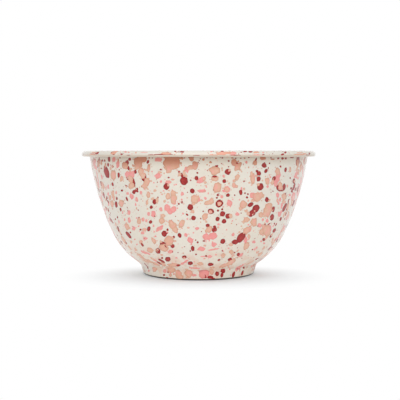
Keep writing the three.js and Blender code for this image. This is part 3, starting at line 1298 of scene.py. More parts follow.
SEEN = {
    Tint.BURGUNDY: splashes(
        (99.2, 159.7, 1.2, 5), (109, 159.3, 2.6, 5, -5), (108.1, 164.8, 1.8, 4),
        (106.3, 171.8, 4.8, 13, -14), (118.6, 175.2, 2.3, 5), (112.6, 184.3, 2, 4, -10),
        (127, 162.8, 4, 4.6), (128.4, 168, 2.5, 5, -15), (129.6, 159.3, 3, 3), (135.4, 171.8, 2.5, 4, -10),
        (133.6, 181.6, 2.5, 8, -15), (134, 192, 3, 4.4), (136.5, 190, 3, 4.4, 30),
        (147.9, 161.8, 2.4, 3.6, 25), (160.5, 169.6, 1.8, 1.8), (144, 177.5, 5, 8),
        (166.4, 186.5, 5.6, 6.4), (184, 180.9, 7.8, 8.2), (182, 175.7, 2.6, 5.5, -15),
        (179.1, 171.8, 2.4, 2.2), (196.5, 178.2, 3.8, 4.4), (190.7, 180.3, 1.6, 1.6), (197.4, 172.9, 2, 2),
        (192.3, 191, 4.6, 4.8), (168.6, 177.6, 2.2, 1.6), (122, 190.5, 2.4, 2.2), (103, 186.3, 1.2, 2.6),
        (103.7, 195, 1.4, 6, -12), (116.2, 204.4, 2.6, 6, -8), (116.8, 198.6, 1.8, 3),
        (126.9, 199, 2, 4.6, -20), (120.6, 209.5, 1.8, 3.6, -8), (154.4, 201.7, 4, 5.2),
        (151.2, 207.2, 3.2, 3.4), (190.4, 207.2, 5.6, 6), (193.6, 218, 4.6, 4.6), (178.8, 203.9, 2, 2),
        (182, 202.3, 1.8, 2.6), (187.1, 214.6, 3, 1.8, 40), (150.5, 222, 3.2, 3.4),
        (148.8, 228.9, 3.4, 5, 20), (128.4, 235, 3, 8.4, -38), (130.4, 232.5, 1.6, 1.8),
        (118.2, 229, 1.6, 6, -15), (117.5, 217.3, 1.2, 2.4), (140.5, 229.6, 2, 2),
        (164.2, 233.8, 5.2, 6, -15), (167.5, 229.8, 2.2, 2.6), (179.6, 235.4, 3.8, 4.8, -20),
        (173.8, 237.1, 2.4, 2.6), (142.2, 244.7, 2.2, 4.4, -35), (162.5, 244.2, 5.5, 5),
        (172.6, 246.1, 4, 4), (158, 251, 4.6, 5.6, -20), (167.8, 259.3, 5.6, 4.6), (162.1, 258, 2, 2),
        (192.8, 248.6, 3.6, 5.4), (190.3, 251, 1.6, 1.6), (184.3, 257, 4.6, 3.4), (190.3, 263.3, 5.4, 3.6),
        (196, 254.4, 1.8, 1.6), (197.7, 242.3, 2, 2), (164, 275, 2, 2), (168, 272.2, 1.6, 1.4),
        (147.6, 267.3, 1, 3, -30), (97, 153, 2, 4, 50), (121.5, 154.2, 2, 1.6), (182.2, 151.7, 3.4, 1.8),
        (163.5, 154.3, 15, 1.2), (216.8, 166.3, 1.8, 3.4, 45), (227.9, 171.8, 5.6, 6),
        (224.3, 181.2, 3.8, 3.8), (228, 195.2, 3.6, 3.4), (217.8, 195, 2.4, 2.6), (216.9, 197.7, 2, 2),
        (219.3, 203.5, 7.4, 7.4), (211, 211.5, 6, 5.4), (218, 210.6, 2.2, 2), (222.2, 209.3, 2, 2.2),
        (222.5, 213.9, 5.4, 5.2), (217.5, 219, 4, 4.6, 20), (228.2, 216, 5.6, 5),
        (224, 221.3, 4.2, 4.8, 45), (207.7, 225.4, 4, 3.6), (214.5, 227, 3, 3.2), (213.4, 230, 3.6, 4),
        (215.5, 229.5, 3, 4), (203.2, 211.3, 1.6, 1.6), (240.8, 192.3, 3.4, 5.4), (245, 193.2, 1.8, 1.8),
        (247.9, 194.2, 1.8, 2), (247, 197.4, 2.2, 2.2), (234.7, 195.2, 1.6, 1.6), (264.2, 165.4, 4.6, 5),
        (266, 171, 3, 4.4, 30), (257, 171.2, 2.6, 2.6), (258.9, 173.2, 4, 5, -20), (258.6, 179, 4, 5, 15),
        (260.6, 186.8, 6, 7, 20), (266.9, 199.7, 3.8, 5), (250.6, 204.6, 4, 6, 60),
        (256, 208.6, 6.4, 7.6, 40), (252.6, 212.6, 5.6, 6), (250.5, 215, 4, 4), (273.4, 209.3, 2.8, 6, 10),
        (272, 217.3, 4, 6.4, 15), (235.2, 242, 6.5, 4.8), (222.9, 241.4, 4.6, 5.2, 40),
        (285.6, 169.8, 2.4, 5, 10), (298.6, 161, 2.4, 8), (294, 181.2, 4, 5), (274, 178.5, 3.4, 4.6, 30),
        (284.7, 207.5, 3.4, 9, 25), (280.7, 219, 2, 4.4, 20), (274.3, 230.5, 2.6, 5, 30),
        (271, 236, 2.2, 4, 35), (263.8, 239.6, 3, 3), (219, 260, 2, 3, 70), (230, 259.5, 3.2, 4.6, 60),
        (238.3, 254.4, 3, 3.6, 45), (210.6, 264.5, 5.6, 3.2), (217.1, 273.8, 4, 4.4), (210.2, 277.2, 6, 3),
        (206.2, 256, 2, 2), (203.9, 241, 2.6, 1.6), (255.9, 159.7, 1.8, 4, 20), (282.5, 158.4, 2.4, 2.4),
        (285.9, 158.4, 2, 2), (222.2, 151.4, 2.4, 1.6), (245, 151.4, 3.4, 1.4), (250.5, 151.7, 3.6, 1.6),
        (282.5, 154.4, 2, 3, 60), (285.4, 152.3, 2, 2), (280.4, 166.3, 1.8, 1.8), (269.6, 163.3, 1.6, 1.6),
        (228.7, 161, 2, 2), (243.7, 181.4, 1.4, 1.4), (243.7, 267.3, 2, 1.6), (112.2, 152.3, 1.2, 3, 55),
        (91.5, 154, 4, 1.2), (151.7, 154.9, 7, 0.8), (167.2, 152.6, 3, 1.2), (175.2, 151.2, 1.8, 1.1),
        (178.6, 151.9, 3, 0.7), (98.1, 162.7, 1, 4), (102.5, 160.4, 1.2, 2.4), (104.7, 160.6, 1.4, 2.4),
        (119.2, 169.8, 1.2, 1.4), (106.5, 198.8, 1, 4, -10), (110.7, 220, 1, 5, -15),
        (139, 217.6, 1.6, 1.5), (126.3, 185.7, 1, 3.4, -60), (125.9, 242.6, 1.2, 3.4, -40),
        (145.3, 264.4, 0.9, 4, -40), (165.3, 247, 1.2, 4, -40), (203.3, 159.6, 1.6, 1.4),
        (198.2, 162.3, 1.3, 1.3), (222.4, 157.9, 2, 1.3), (221.5, 163.6, 1.2, 1.2),
        (228.6, 166.7, 1.3, 1.4), (235.6, 162.7, 1.1, 4, 55), (248.8, 157.6, 1.6, 1.2),
        (278.3, 158.3, 2.2, 1.4), (292, 157.6, 4, 1.1), (296.4, 162.7, 1.1, 6), (235.6, 155.2, 9, 0.9),
        (241.3, 152.2, 1.5, 1), (309.6, 153.5, 1.4, 2.4), (307.6, 155, 3, 1.1),
        (268.2, 168.4, 1, 3, 15), (290.2, 178, 1.3, 2),
        (273, 191.3, 1.2, 1.2), (285.2, 195.4, 1.1, 6, 15), (288.4, 201.5, 1, 5, 12),
        (265.1, 224.3, 1.5, 2), (269.1, 224, 1.1, 3.4, 55), (276.1, 224.5, 1.2, 3.4, 30),
        (222.4, 250.8, 1.6, 1.5), (234.7, 252.5, 1.5, 1.4), (256.7, 259.1, 1.1, 3.4, 60),
        (269.9, 248.1, 1, 6, 45), (205.7, 277.3, 2, 1.8), (244, 181.3, 1.7, 1.9), (277.8, 187.4, 2.8, 5.4),
        (284.2, 187, 3, 7, 8), (281, 190.6, 6, 1.6), (113.6, 154.5, 1.6, 1), (128.4, 155.2, 3, 0.8),
        (196.5, 155.4, 6, 0.7), (263.4, 154.6, 2, 0.9), (184.4, 158, 1.4, 1.1), (189, 157.7, 1.6, 1),
        (152.4, 158, 1.2, 1), (207, 157.8, 1.4, 1), (240.8, 158.3, 1.4, 1.1), (120, 157.9, 1.4, 1.4),
        (271, 157.8, 1.6, 1.2), (102.8, 215, 0.9, 4, -15), (108.4, 210, 0.9, 4, -12), (286, 214, 1, 4, 15),
        (213.3, 190, 1.1, 1.1), (207.4, 170.3, 1.2, 1.2), (157.4, 182.2, 1.2, 1.2),
        (175.6, 216.4, 1.1, 1.1), (236.6, 224.6, 1.1, 1.1), (201.5, 231.6, 1.2, 1.1),
        (184.6, 246.7, 1.1, 1.1), (178, 252.6, 1.2, 1.1), (252.4, 249.6, 1.2, 1.6, 40),
        (291.2, 188.4, 1.8, 2.6), (293.4, 188.6, 1.8, 3), (292, 191.3, 2, 2.6), (295.4, 189.4, 1.2, 4, 10),
        (167, 277.6, 2.4, 1.2), (271.8, 248, 1.4, 3, 35), (274.4, 223.6, 1.3, 1.8),
        (132.9, 192.2, 1.8, 1.8), (137.6, 191.6, 1.8, 1.8), (127.1, 178.6, 1.4, 3.6, -25),
        (129.7, 187.8, 1.2, 3.8, -40), (134.6, 185.4, 1.2, 3.4, -5), (101.2, 168.4, 1.2, 1.6),
        (115.4, 219.2, 1.2, 1.8), (121.3, 234.6, 1.4, 1.6), (161.4, 260.8, 2.2, 7.4, -60),
        (159.5, 263.2, 1.7, 6.4, -62), (223, 270.8, 4.6, 4.4, 40), (221.9, 275, 2.9, 4.6, 10),
        (233.6, 274.4, 2.7, 6.2, 18), (242.4, 272.8, 2.1, 5.4, 22), (213.2, 278.4, 3.6, 1.4),
        (205.4, 276, 0.9, 3.4, -15), (241, 237.6, 7, 11.5, 38),
    ),
    Tint.PEACH: splashes(
        (138.5, 162.5, 8.5, 10), (143, 159.5, 7, 5), (141, 171.5, 5.4, 9, -10), (143.2, 175.8, 4.4, 6),
        (168, 163, 9, 13), (175.4, 162.7, 9, 11.5), (171.6, 160.6, 14, 8), (168.6, 170, 5.6, 6.4),
        (190, 167.6, 4.4, 8, 65), (195, 165.5, 6.4, 6.6), (184, 173.5, 3, 6), (191.6, 158.8, 5, 4),
        (125, 165.8, 5.5, 8, -25), (148.8, 167.8, 3.2, 8, 8), (146.6, 181.8, 6.4, 8, 20),
        (144.4, 186, 5.6, 5.4), (130.4, 179, 5, 8, -20), (131.3, 185.6, 6.5, 6), (113.5, 175.4, 5, 10, -5),
        (121.2, 203.4, 5.6, 6), (112.2, 203.6, 3.6, 6.4, -8), (148.3, 195, 3.4, 6), (147, 202.5, 2.5, 5),
        (154.8, 190.5, 3, 2.5), (168, 196, 5, 6), (173.3, 193, 5.5, 6.4), (173.5, 199, 6.5, 9),
        (195, 199, 8, 9), (192.5, 211.4, 3.5, 4), (139.1, 221, 4, 7), (163, 215.5, 4.6, 4),
        (161.7, 220.8, 5, 5.4), (172.5, 224.8, 6.4, 9.5, -35), (175.2, 229.6, 6, 6.4),
        (181.5, 223.5, 5.2, 8.6, 35), (127, 226.9, 4.2, 6.8, -20), (169, 240.8, 9.5, 9),
        (163.8, 247.8, 9, 7),
        (150.5, 250.3, 5, 6.6, -65), (153.7, 241, 3.5, 7, -25), (123.5, 240, 5, 9, -30),
        (140.5, 256, 4, 8, -50), (145.5, 260.5, 4, 8, -55), (173.8, 265, 12, 3.4), (178.6, 274.5, 5.6, 8),
        (188.5, 273.2, 7, 5.6), (98.5, 163.5, 3, 8), (166, 153.4, 9, 2.4), (142.6, 175.6, 3.6, 6.4),
        (168.2, 185, 2, 2.6), (184.4, 258.4, 2.8, 2.2), (163.8, 246.2, 5, 4.4), (214.8, 170.4, 9.6, 9),
        (214.8, 178.3, 6.6, 6), (217.6, 187, 8.4, 9.8, 10), (234, 162.5, 5, 7.4, -20),
        (237.5, 166.5, 5.6, 9.4, 28), (208.4, 202.6, 4.4, 10, 72), (211.6, 201, 4, 6.4),
        (205.3, 216.4, 5.6, 6.4, 20), (237.2, 177.4, 4.2, 7, 30), (233.8, 185.2, 3.6, 5),
        (236.5, 186.5, 2.5, 3), (253, 179, 4.6, 10), (267.3, 181.2, 4.4, 7), (257.5, 197.2, 9, 8),
        (260.8, 195, 6, 6.4), (243.2, 204.8, 7, 8), (267.8, 210.2, 8, 12), (246.8, 219.6, 6, 5),
        (254, 222.2, 6, 8.6), (260.9, 215, 4, 5), (246.8, 230.3, 5.5, 9, 55), (246.3, 246, 5.4, 8),
        (208.8, 229.4, 5, 8, 55), (223.1, 255.7, 4, 5.6, 45), (200.4, 263.8, 5.4, 3), (232, 261, 3, 9, 60),
        (225, 265, 3, 9, 75), (297.7, 162.9, 3, 10), (277.6, 171.8, 4.6, 8), (263.8, 158.4, 4, 3),
        (255, 162.9, 4, 5), (284.2, 196.8, 4.4, 7.6), (261.5, 232, 4, 6), (266.9, 230.7, 8, 11),
        (249, 236.5, 3, 4), (231.6, 252.1, 4, 5), (230.9, 244.6, 4, 3), (211.5, 271.3, 4, 5),
        (260.6, 254, 3, 6, 50), (224.5, 153, 10, 3), (219.4, 203.6, 4.4, 4.4), (210.4, 211.9, 4, 3.6),
        (230.6, 216, 3.6, 4.4), (229.4, 170.4, 2.6, 2.8), (258.4, 184.6, 3, 3.2), (294.4, 181.4, 1.8, 2.8),
        (157.4, 249.6, 1.6, 2.2), (254.6, 211, 1.8, 1.8), (94.2, 152.5, 4, 1.4), (92, 154.2, 5, 1.4),
        (113.7, 152.7, 2.2, 6, 60), (115.8, 151.5, 3.4, 1.3), (135.9, 152.6, 1.6, 1.4),
        (101.2, 162.3, 1.8, 5), (99, 170.6, 1.4, 5), (131.2, 168.9, 2, 2), (144.3, 169.3, 1.6, 1.6),
        (159.7, 172.4, 4, 2.4), (164.1, 173.3, 1.6, 1.6), (179.6, 174.2, 3, 4.2), (172.9, 179.4, 3.6, 1.8),
        (181.7, 158.4, 4, 2.4), (121.8, 178.8, 3.6, 5), (110, 197.6, 2.4, 5), (112.8, 194, 2.6, 7),
        (148.7, 178.5, 1.4, 1.4), (151.8, 193.5, 1.6, 1.6), (157, 200.4, 2.6, 6), (152.6, 198.8, 3, 3),
        (164.5, 201.4, 2.3, 2.4), (144.2, 229.6, 4.4, 3.2), (188.3, 227.8, 2.3, 2.2), (175.2, 241, 2, 2),
        (140.8, 241.8, 3.4, 3.2, -30), (131.1, 241.9, 1.8, 3.2, -25), (149.6, 261.2, 2, 6, -62),
        (154.8, 269.2, 5, 4), (172, 166, 10, 8.4), (186.2, 176, 2.3, 3.6), (171.5, 168.6, 3, 3),
        (213.6, 154.9, 8, 0.9), (222.4, 153.4, 10, 3.4), (200.4, 158.8, 1.6, 1.3), (203.3, 159.5, 2.6, 2.1),
        (210.5, 162.3, 2.6, 2.2), (262, 158.4, 4, 3), (272.6, 159.2, 4, 1.3), (205.2, 182.5, 3, 2.4),
        (203.9, 178.6, 3.4, 4.6), (229, 183.4, 1.9, 1.9), (234.1, 180.9, 3, 3.2), (244, 189.2, 2, 2.4),
        (251.6, 174.2, 2.6, 6), (272.6, 182, 2.8, 6, 10), (290.2, 169.8, 1.8, 5), (277.4, 200.6, 2, 4),
        (287.9, 207, 2, 9, 8), (284.4, 214.4, 1.8, 6.6, 24), (248.4, 213.8, 3, 3.8), (246.2, 211.1, 3, 3),
        (266.4, 238, 1.8, 5, 45), (237.8, 250.8, 1.5, 3.2, 55), (211.8, 267.9, 4.4, 1.2),
        (222.4, 267.1, 7, 1.2), (263.8, 248.1, 1.8, 4, 45), (273.5, 242.8, 1.2, 7, 38),
        (255.9, 152.3, 5, 2.2), (299.9, 154.5, 8, 1.5), (299.9, 152.7, 5, 1), (304.6, 153.8, 3, 1.6),
        (280.6, 186.4, 5, 7.4), (141.5, 158, 11, 3), (256.4, 176, 2.4, 3.2), (262.5, 180.5, 1.6, 1.8),
        (282.4, 230, 2, 5, 15), (279, 235.5, 1.3, 4, 25), (272.5, 240.8, 1.3, 6, 22), (298.6, 172, 1.4, 6),
        (136.7, 167, 5, 5.4), (174.6, 158.2, 12, 3), (226.8, 189.2, 5, 5.4), (265.6, 213.6, 6, 6),
        (269.6, 205.6, 6, 5), (118.2, 160, 1.6, 3.6), (105.4, 165.4, 1.6, 5), (110.6, 168.6, 1.6, 3),
        (232.4, 158, 2.4, 1.4), (244.6, 158.2, 2, 1.4), (216, 158.4, 2.2, 1.6), (194.6, 161.9, 1.6, 1.6),
        (207.2, 164.7, 1.6, 1.4), (248.6, 167.4, 1.6, 2), (241.6, 171.6, 1.4, 1.6),
        (162.4, 194.4, 1.4, 1.6), (180.7, 186.6, 1.6, 1.4), (187.2, 197.8, 1.4, 1.4),
        (136.6, 208.6, 1.6, 2.4), (147.4, 208.8, 1.6, 1.8), (200.6, 222.2, 1.4, 1.4),
        (231.6, 223.4, 1.6, 1.6), (241.4, 226.2, 1.6, 1.6), (183.2, 253.2, 1.6, 1.4),
        (204.6, 245.4, 2.4, 1.4), (135.8, 249.4, 1.6, 4, -45), (129.6, 247.8, 1.4, 5, -42),
        (120.4, 233.2, 1.2, 5, -28), (115.8, 224.4, 1.2, 4, -18), (218.2, 227.4, 2.2, 2),
        (206.6, 222, 2, 1.8), (253, 200.6, 4, 3), (240.6, 208.6, 3, 3.4), (193.4, 203.8, 4, 3),
        (181, 277, 5, 4), (169.4, 267.4, 5, 2.6), (156, 264, 2, 8, -65), (162.6, 263.6, 1.8, 6, -65),
        (189, 273.6, 7.4, 6.2), (195, 265.8, 4.4, 1.3), (187.2, 277.4, 3, 1.8), (162, 255, 2.6, 1.8),
        (233, 255, 1.2, 4, 40), (230.5, 263, 3.2, 11, 66), (250.5, 262.6, 0.9, 9, 62),
        (284, 201.8, 3.2, 3.4), (288.5, 215, 1.4, 7, 12), (257.7, 252.2, 1.6, 4, 55),
        (120.7, 180.4, 1.6, 2.6), (112.4, 166.4, 2, 3), (114, 198, 2, 5), (131, 253.2, 3, 2.4, -40),
        (130.2, 170.6, 2, 3), (171.4, 269.4, 6.6, 5), (163.6, 264.6, 3.4, 4.4, -60), (176.8, 272, 3, 4),
        (170.4, 275, 3, 2.6), (152.6, 258.8, 1.6, 5, -60), (263.4, 226.4, 3, 5, 25), (243.6, 222, 2.4, 3),
        (250, 228, 3.4, 3), (186.6, 269.6, 3, 1.2), (212.5, 267.4, 4, 1.4), (198.6, 270.4, 2, 1.4),
        (228.4, 266.6, 5, 1.6, 70),
    ),
    Tint.PINK: splashes(
        (127.5, 174.5, 5, 6), (131.5, 174.5, 6, 7), (113.8, 159.4, 4, 5), (118, 164.2, 3.4, 7),
        (158, 176, 6, 6), (168, 182, 6, 3.6), (167.5, 208, 6, 7.6), (173, 209.5, 7, 6), (170, 211.5, 5, 5),
        (160.8, 209.3, 3.2, 4), (153.3, 214, 5, 6), (148.7, 214, 3, 4), (131.8, 196.4, 4, 5.6, -20),
        (136.7, 199.5, 2.8, 5), (129, 212.4, 3, 4.6), (129.3, 220.2, 2.8, 5, -10), (133.6, 228.5, 3.6, 3.6),
        (159.5, 228.5, 4.4, 8, 60), (190.3, 240.5, 5, 6.5, -40), (170.2, 251.7, 5.6, 3.6),
        (182.2, 193.7, 3, 4), (143, 219.3, 3, 4), (146.2, 220.7, 2.4, 3), (186, 235, 3.5, 4),
        (142.5, 233, 4, 3), (145.2, 238.3, 4, 3), (197, 228.5, 4, 3), (94.5, 165, 2, 7),
        (187, 169.4, 6, 5.4), (173.8, 202.4, 5, 4.4), (200.8, 180.3, 5, 8, 50), (227.1, 189.2, 6, 6.4),
        (201.7, 191, 8, 3.4), (205.3, 198.3, 3, 3), (229.6, 203.2, 5.4, 6), (237.4, 214.2, 4, 3.4),
        (206, 236.5, 6, 6), (213, 236, 7, 7.4), (209.6, 237, 7, 5), (213.8, 244.6, 5, 4.4),
        (201.3, 249, 8, 4), (209.7, 256.6, 5, 2.6), (238.3, 267.8, 6, 4), (204.4, 273.6, 10, 7.4),
        (259.7, 225.4, 4, 4), (267.3, 220.9, 3, 4), (278.5, 175.5, 4, 9, 10), (221.8, 196.8, 3, 3.4),
        (277.6, 195, 3, 5), (279.4, 213.8, 3.4, 5), (233.1, 234.6, 3, 3.4), (253.9, 241.9, 3.4, 3),
        (223.8, 176.3, 2.6, 3), (245.4, 239.6, 4, 6), (241.4, 254.8, 3, 2.6), (275.4, 182.5, 3.4, 6),
        (252.5, 195.3, 5, 5), (198.5, 199.4, 3, 6), (125.5, 151.8, 2.2, 2.4), (128.6, 152.4, 1.6, 1.4),
        (144.3, 152.3, 6, 0.8), (94.6, 162.7, 1.6, 7), (93.4, 162, 1.2, 8), (96.4, 168.2, 1, 4),
        (142.2, 172.6, 2.2, 3.2), (158.4, 159.6, 6.4, 4.4), (161, 181.6, 2.4, 2.6), (163.6, 190.9, 2, 1.5),
        (108.2, 186.5, 1.6, 5), (106, 188.3, 1.3, 3.4), (108.2, 194, 1.4, 4), (116.1, 192.6, 2, 3.2),
        (127.6, 193.5, 3, 2.8), (140.8, 192.7, 2.4, 3.4), (181.7, 199.6, 1.8, 2), (108.7, 204, 1.4, 4),
        (106.5, 209.3, 1, 4, -10), (138.6, 226.5, 1.5, 1.6), (153.5, 226, 1.8, 2), (167.3, 232.5, 2.4, 2.2),
        (183, 213.7, 2, 1.8), (187.4, 219, 2, 1.6), (144.4, 252.4, 2, 5, -55), (147.9, 253.4, 1.4, 6, -60),
        (154.8, 260.3, 1.8, 5.4, -62), (193.5, 267.8, 8, 1.2), (148.8, 270.8, 2, 2), (193.5, 275.4, 3, 2),
        (211.4, 151.6, 2.2, 1.3), (233, 153, 6, 3.4), (256.7, 154.9, 7, 1.1), (263.2, 152.6, 2, 1.6),
        (224.2, 190.9, 4, 2.8), (267.7, 186.5, 2.2, 3), (270.4, 177.2, 1.5, 2), (298, 178.2, 1.7, 3),
        (262.9, 219.9, 2.3, 3), (269, 227.8, 4.6, 6), (249.3, 229.2, 4, 4.6), (215.8, 254.8, 2, 1.6),
        (203, 256.5, 5, 1.1), (204.4, 258.7, 2.4, 1.4), (203.9, 274, 9.4, 8), (301.4, 181, 1.2, 9),
        (299.8, 188.5, 1.1, 9, 8), (295.4, 203.4, 1.1, 9, 12), (303, 170, 1, 9), (284, 228, 1.1, 7, 25),
        (278, 237.5, 1.1, 6, 30), (97, 175.4, 1.1, 8, -8), (98.6, 184.6, 1.1, 8, -10),
        (101.8, 199, 1, 7, -14), (105, 211, 1, 7, -16), (109, 222.6, 1, 7, -22), (113.4, 232.4, 1, 7, -28),
        (176.2, 184.4, 1.8, 1.4), (152, 171.6, 1.6, 1.6), (153.8, 182.8, 1.6, 1.5),
        (184.6, 188.4, 1.5, 1.4), (206.4, 187, 1.6, 1.5), (208.3, 193.6, 1.5, 1.4),
        (232.8, 199.4, 1.5, 1.5), (239.5, 199.8, 1.4, 1.4), (218.6, 224.4, 2.6, 2.2),
        (226.6, 229.8, 1.5, 1.4), (193.4, 232.8, 1.6, 1.5), (155.5, 236.4, 2, 1.8),
        (176.4, 257.8, 2.4, 1.6), (248.4, 224.8, 1.8, 1.8), (256.6, 247.6, 1.8, 2.8, 40),
        (228.4, 248.4, 2, 1.6), (135.6, 204.6, 1.6, 2.6), (124.6, 219.6, 1.5, 3),
        (122.6, 212.4, 1.3, 3, -8), (118.9, 221.6, 1.2, 3.4, -14), (246.4, 162.2, 2, 3),
        (241.5, 188.6, 2, 3), (205.9, 238.6, 5, 3), (213.8, 249.5, 1.5, 12, 80), (165, 271, 3.4, 3.2, 20),
        (170.7, 272.6, 2, 2.2), (173.9, 274, 1.8, 2), (170.5, 275.2, 2.4, 2.8), (196.5, 268.3, 8, 1.5),
        (194.8, 275.2, 4, 2.2), (241, 255, 2.8, 5.4, 55), (240.2, 266.6, 2.2, 8, 62),
        (236.6, 269.6, 3, 3.4, 20), (229.7, 269, 1.6, 1.6), (277.2, 178.8, 5, 6.4), (275.6, 183.4, 4.4, 6),
        (289.8, 195, 2, 2.4), (282, 204.6, 2, 4), (281.5, 207, 1.4, 4), (268.6, 229.5, 5, 8, 20),
        (261.3, 241.3, 2, 2), (264.2, 243.4, 2, 2.4), (254.7, 249.3, 2, 2), (303, 174, 1.4, 6),
        (301.2, 181, 1.6, 6), (299.2, 187, 2, 6), (297.4, 194, 1.4, 8), (275.2, 240, 1.4, 6, 38),
        (134.8, 239.4, 1.8, 1.4), (136.9, 244.5, 1.6, 1.6), (135.5, 250, 1.4, 1.8),
        (142.2, 251.8, 1.4, 3.6, -45), (185.8, 261.4, 2.4, 5, 50), (182.6, 263.4, 2, 4.8, 70),
        (168.6, 271.4, 3, 2.4, 30), (280, 199.6, 2.4, 4), (278.6, 203.4, 1.8, 3), (287.4, 186, 1.6, 3),
        (281.4, 211.6, 2, 3),
    ),
}
# Burgundy that landed last, over other colours
SEEN_ON_TOP = splashes(
    (214.8, 176.6, 4.8, 2), (178.2, 265.3, 4.2, 2.2), (237.1, 163.1, 2.4, 1.8),
    (162.5, 243.4, 3.6, 1.8, -10),
    (165.6, 246.4, 1.3, 3.6, -40), (216.5, 166.2, 3, 1.8, 20), (297.9, 158.6, 2.6, 2.6),
)


@dataclass
class Scatter:
    """Lands drops at random on the gloss of a coat, as many to each area."""

    gloss: Sequence[Vector]
    seed: int
    least_stretch: float = 0.85
    lean: float = 0.6
    lift_range: Range = (0.9, 1.1)

    def __post_init__(self) -> None:
        """Adds up the area of the rings between the gloss line's points."""
        self.draws = random.Random(self.seed)
        pairs = list(zip(self.gloss, self.gloss[1:]))
        self.areas = list(accumulate(math.pi * (a.x + b.x) * (b - a).length for a, b in pairs))

    def place(self) -> Vector:
        """Draws a place.

        Returns:
            A point of the gloss, any part of its area as likely as any other.
        """
        ring = bisect.bisect(self.areas, self.draws.uniform(0, self.areas[-1]))
        ring = min(ring, len(self.gloss) - 2)
        spot = self.gloss[ring].lerp(self.gloss[ring + 1], self.draws.random())
        return around(spot.x, self.draws.uniform(-math.pi, math.pi), spot.y)

    def drops(self, kind: DropKind) -> list[Drop]:
        """Lands the drops of one kind.

        Args:
            kind: Their tint, sizes and density.

        Returns:
            The drops, in millimetres.
        """
        landed = []
        for _ in range(round(kind.density * self.areas[-1] / SQUARE_DECIMETRE)):
            share = self.draws.random() ** 2
            width = kind.smallest + (kind.largest - kind.smallest) * share
            stretch = self.draws.uniform(self.least_stretch, kind.stretch)
            turn = self.draws.gauss(0, self.lean)
            lift = LIFTS[kind.tint] * self.draws.uniform(*self.lift_range)
            place, seed = self.place(), self.draws.random()
            landed.append(Drop(kind.tint, place, width, width * stretch, turn, lift, kind.ragged, seed))
        return landed


def in_view(side: Side, drop: Drop) -> bool:
    """Whether the photograph shows a drop's place well enough to read what landed there.

    Args:
        side: The side of the bowl that the drop is on.
        drop: The drop.

    Returns:
        Whether it is on the front of the wall's outside or reaches the front of the bead.
    """
    bearing = abs(math.atan2(drop.place.x, -drop.place.y))
    if side is Side.OUTSIDE:
        return bearing < FRONT_OF_WALL
    reach = math.hypot(drop.place.x, drop.place.y) + drop.length / 2
    return bearing < FRONT_OF_BEAD and reach > BEAD_REACH


def surface_axes(normal: Vector) -> tuple[Vector, Vector]:
    """The level and the upward direction in a surface with a given normal."""
    level = Vector((0, 0, 1)).cross(normal).normalized()
    return level, normal.cross(level)


def own_axes(first: Vector, second: Vector) -> tuple[float, float, float]:
    """Axes of the ellipse that has two given steps as conjugate diameters.

    Args:
        first: One diameter.
        second: The diameter that the first one's ends are tangent to.

    Returns:
        The lengths of its two axes, and the angle of the first of them.
    """
    across = first.x**2 + second.x**2
    upward = first.y**2 + second.y**2
    skew = first.x * first.y + second.x * second.y
    middle = (across + upward) / 2
    swing = math.hypot((across - upward) / 2, skew)
    turn = math.atan2(2 * skew, across - upward) / 2
    return math.sqrt(middle + swing), math.sqrt(max(middle - swing, 0.0)), turn


@dataclass
class Spray:
    """Throws small drops off the larger ones, which leaves them with uneven edges."""

    coat: BVHTree
    seed: int
    smallest_parent: float = 3.4
    pitch: float = 3.2
    reach_range: Range = (0.42, 0.85)
    width_range: Range = (0.09, 0.26)
    stretch_range: Range = (0.9, 1.5)
    ragged: float = 0.4

    def __post_init__(self) -> None:
        """Readies the random draws."""
        self.draws = random.Random(self.seed)

    def off(self, parent: Drop) -> list[Drop]:
        """Throws drops off one drop.

        Args:
            parent: The larger drop.

        Returns:
            The drops thrown off, or none if it is small itself or of the thick burgundy.
        """
        size = math.sqrt(parent.width * parent.length)
        if size < self.smallest_parent or parent.tint is Tint.BURGUNDY:
            return []
        level, rise = surface_axes(self.coat.find_nearest(parent.place * MM)[1])
        across, upward = along(parent.turn), left_of(parent.turn)
        thrown = []
        for _ in range(round(size / self.pitch)):
            angle = self.draws.uniform(0, math.tau)
            reach = self.draws.uniform(*self.reach_range)
            sideways = across * math.cos(angle) * parent.width
            step = (sideways + upward * math.sin(angle) * parent.length) * reach
            place = parent.place + level * step.x + rise * step.y
            width = size * self.draws.uniform(*self.width_range)
            length = width * self.draws.uniform(*self.stretch_range)
            changes = {"place": place, "width": width, "length": length, "ragged": self.ragged}
            thrown.append(replace(parent, seed=self.draws.random(), **changes))
        return thrown


@dataclass(frozen=True)
class Hit:
    """Where a ray meets a coat: the side of the bowl, the point in metres and the normal."""

    side: Side
    point: Vector
    normal: Vector


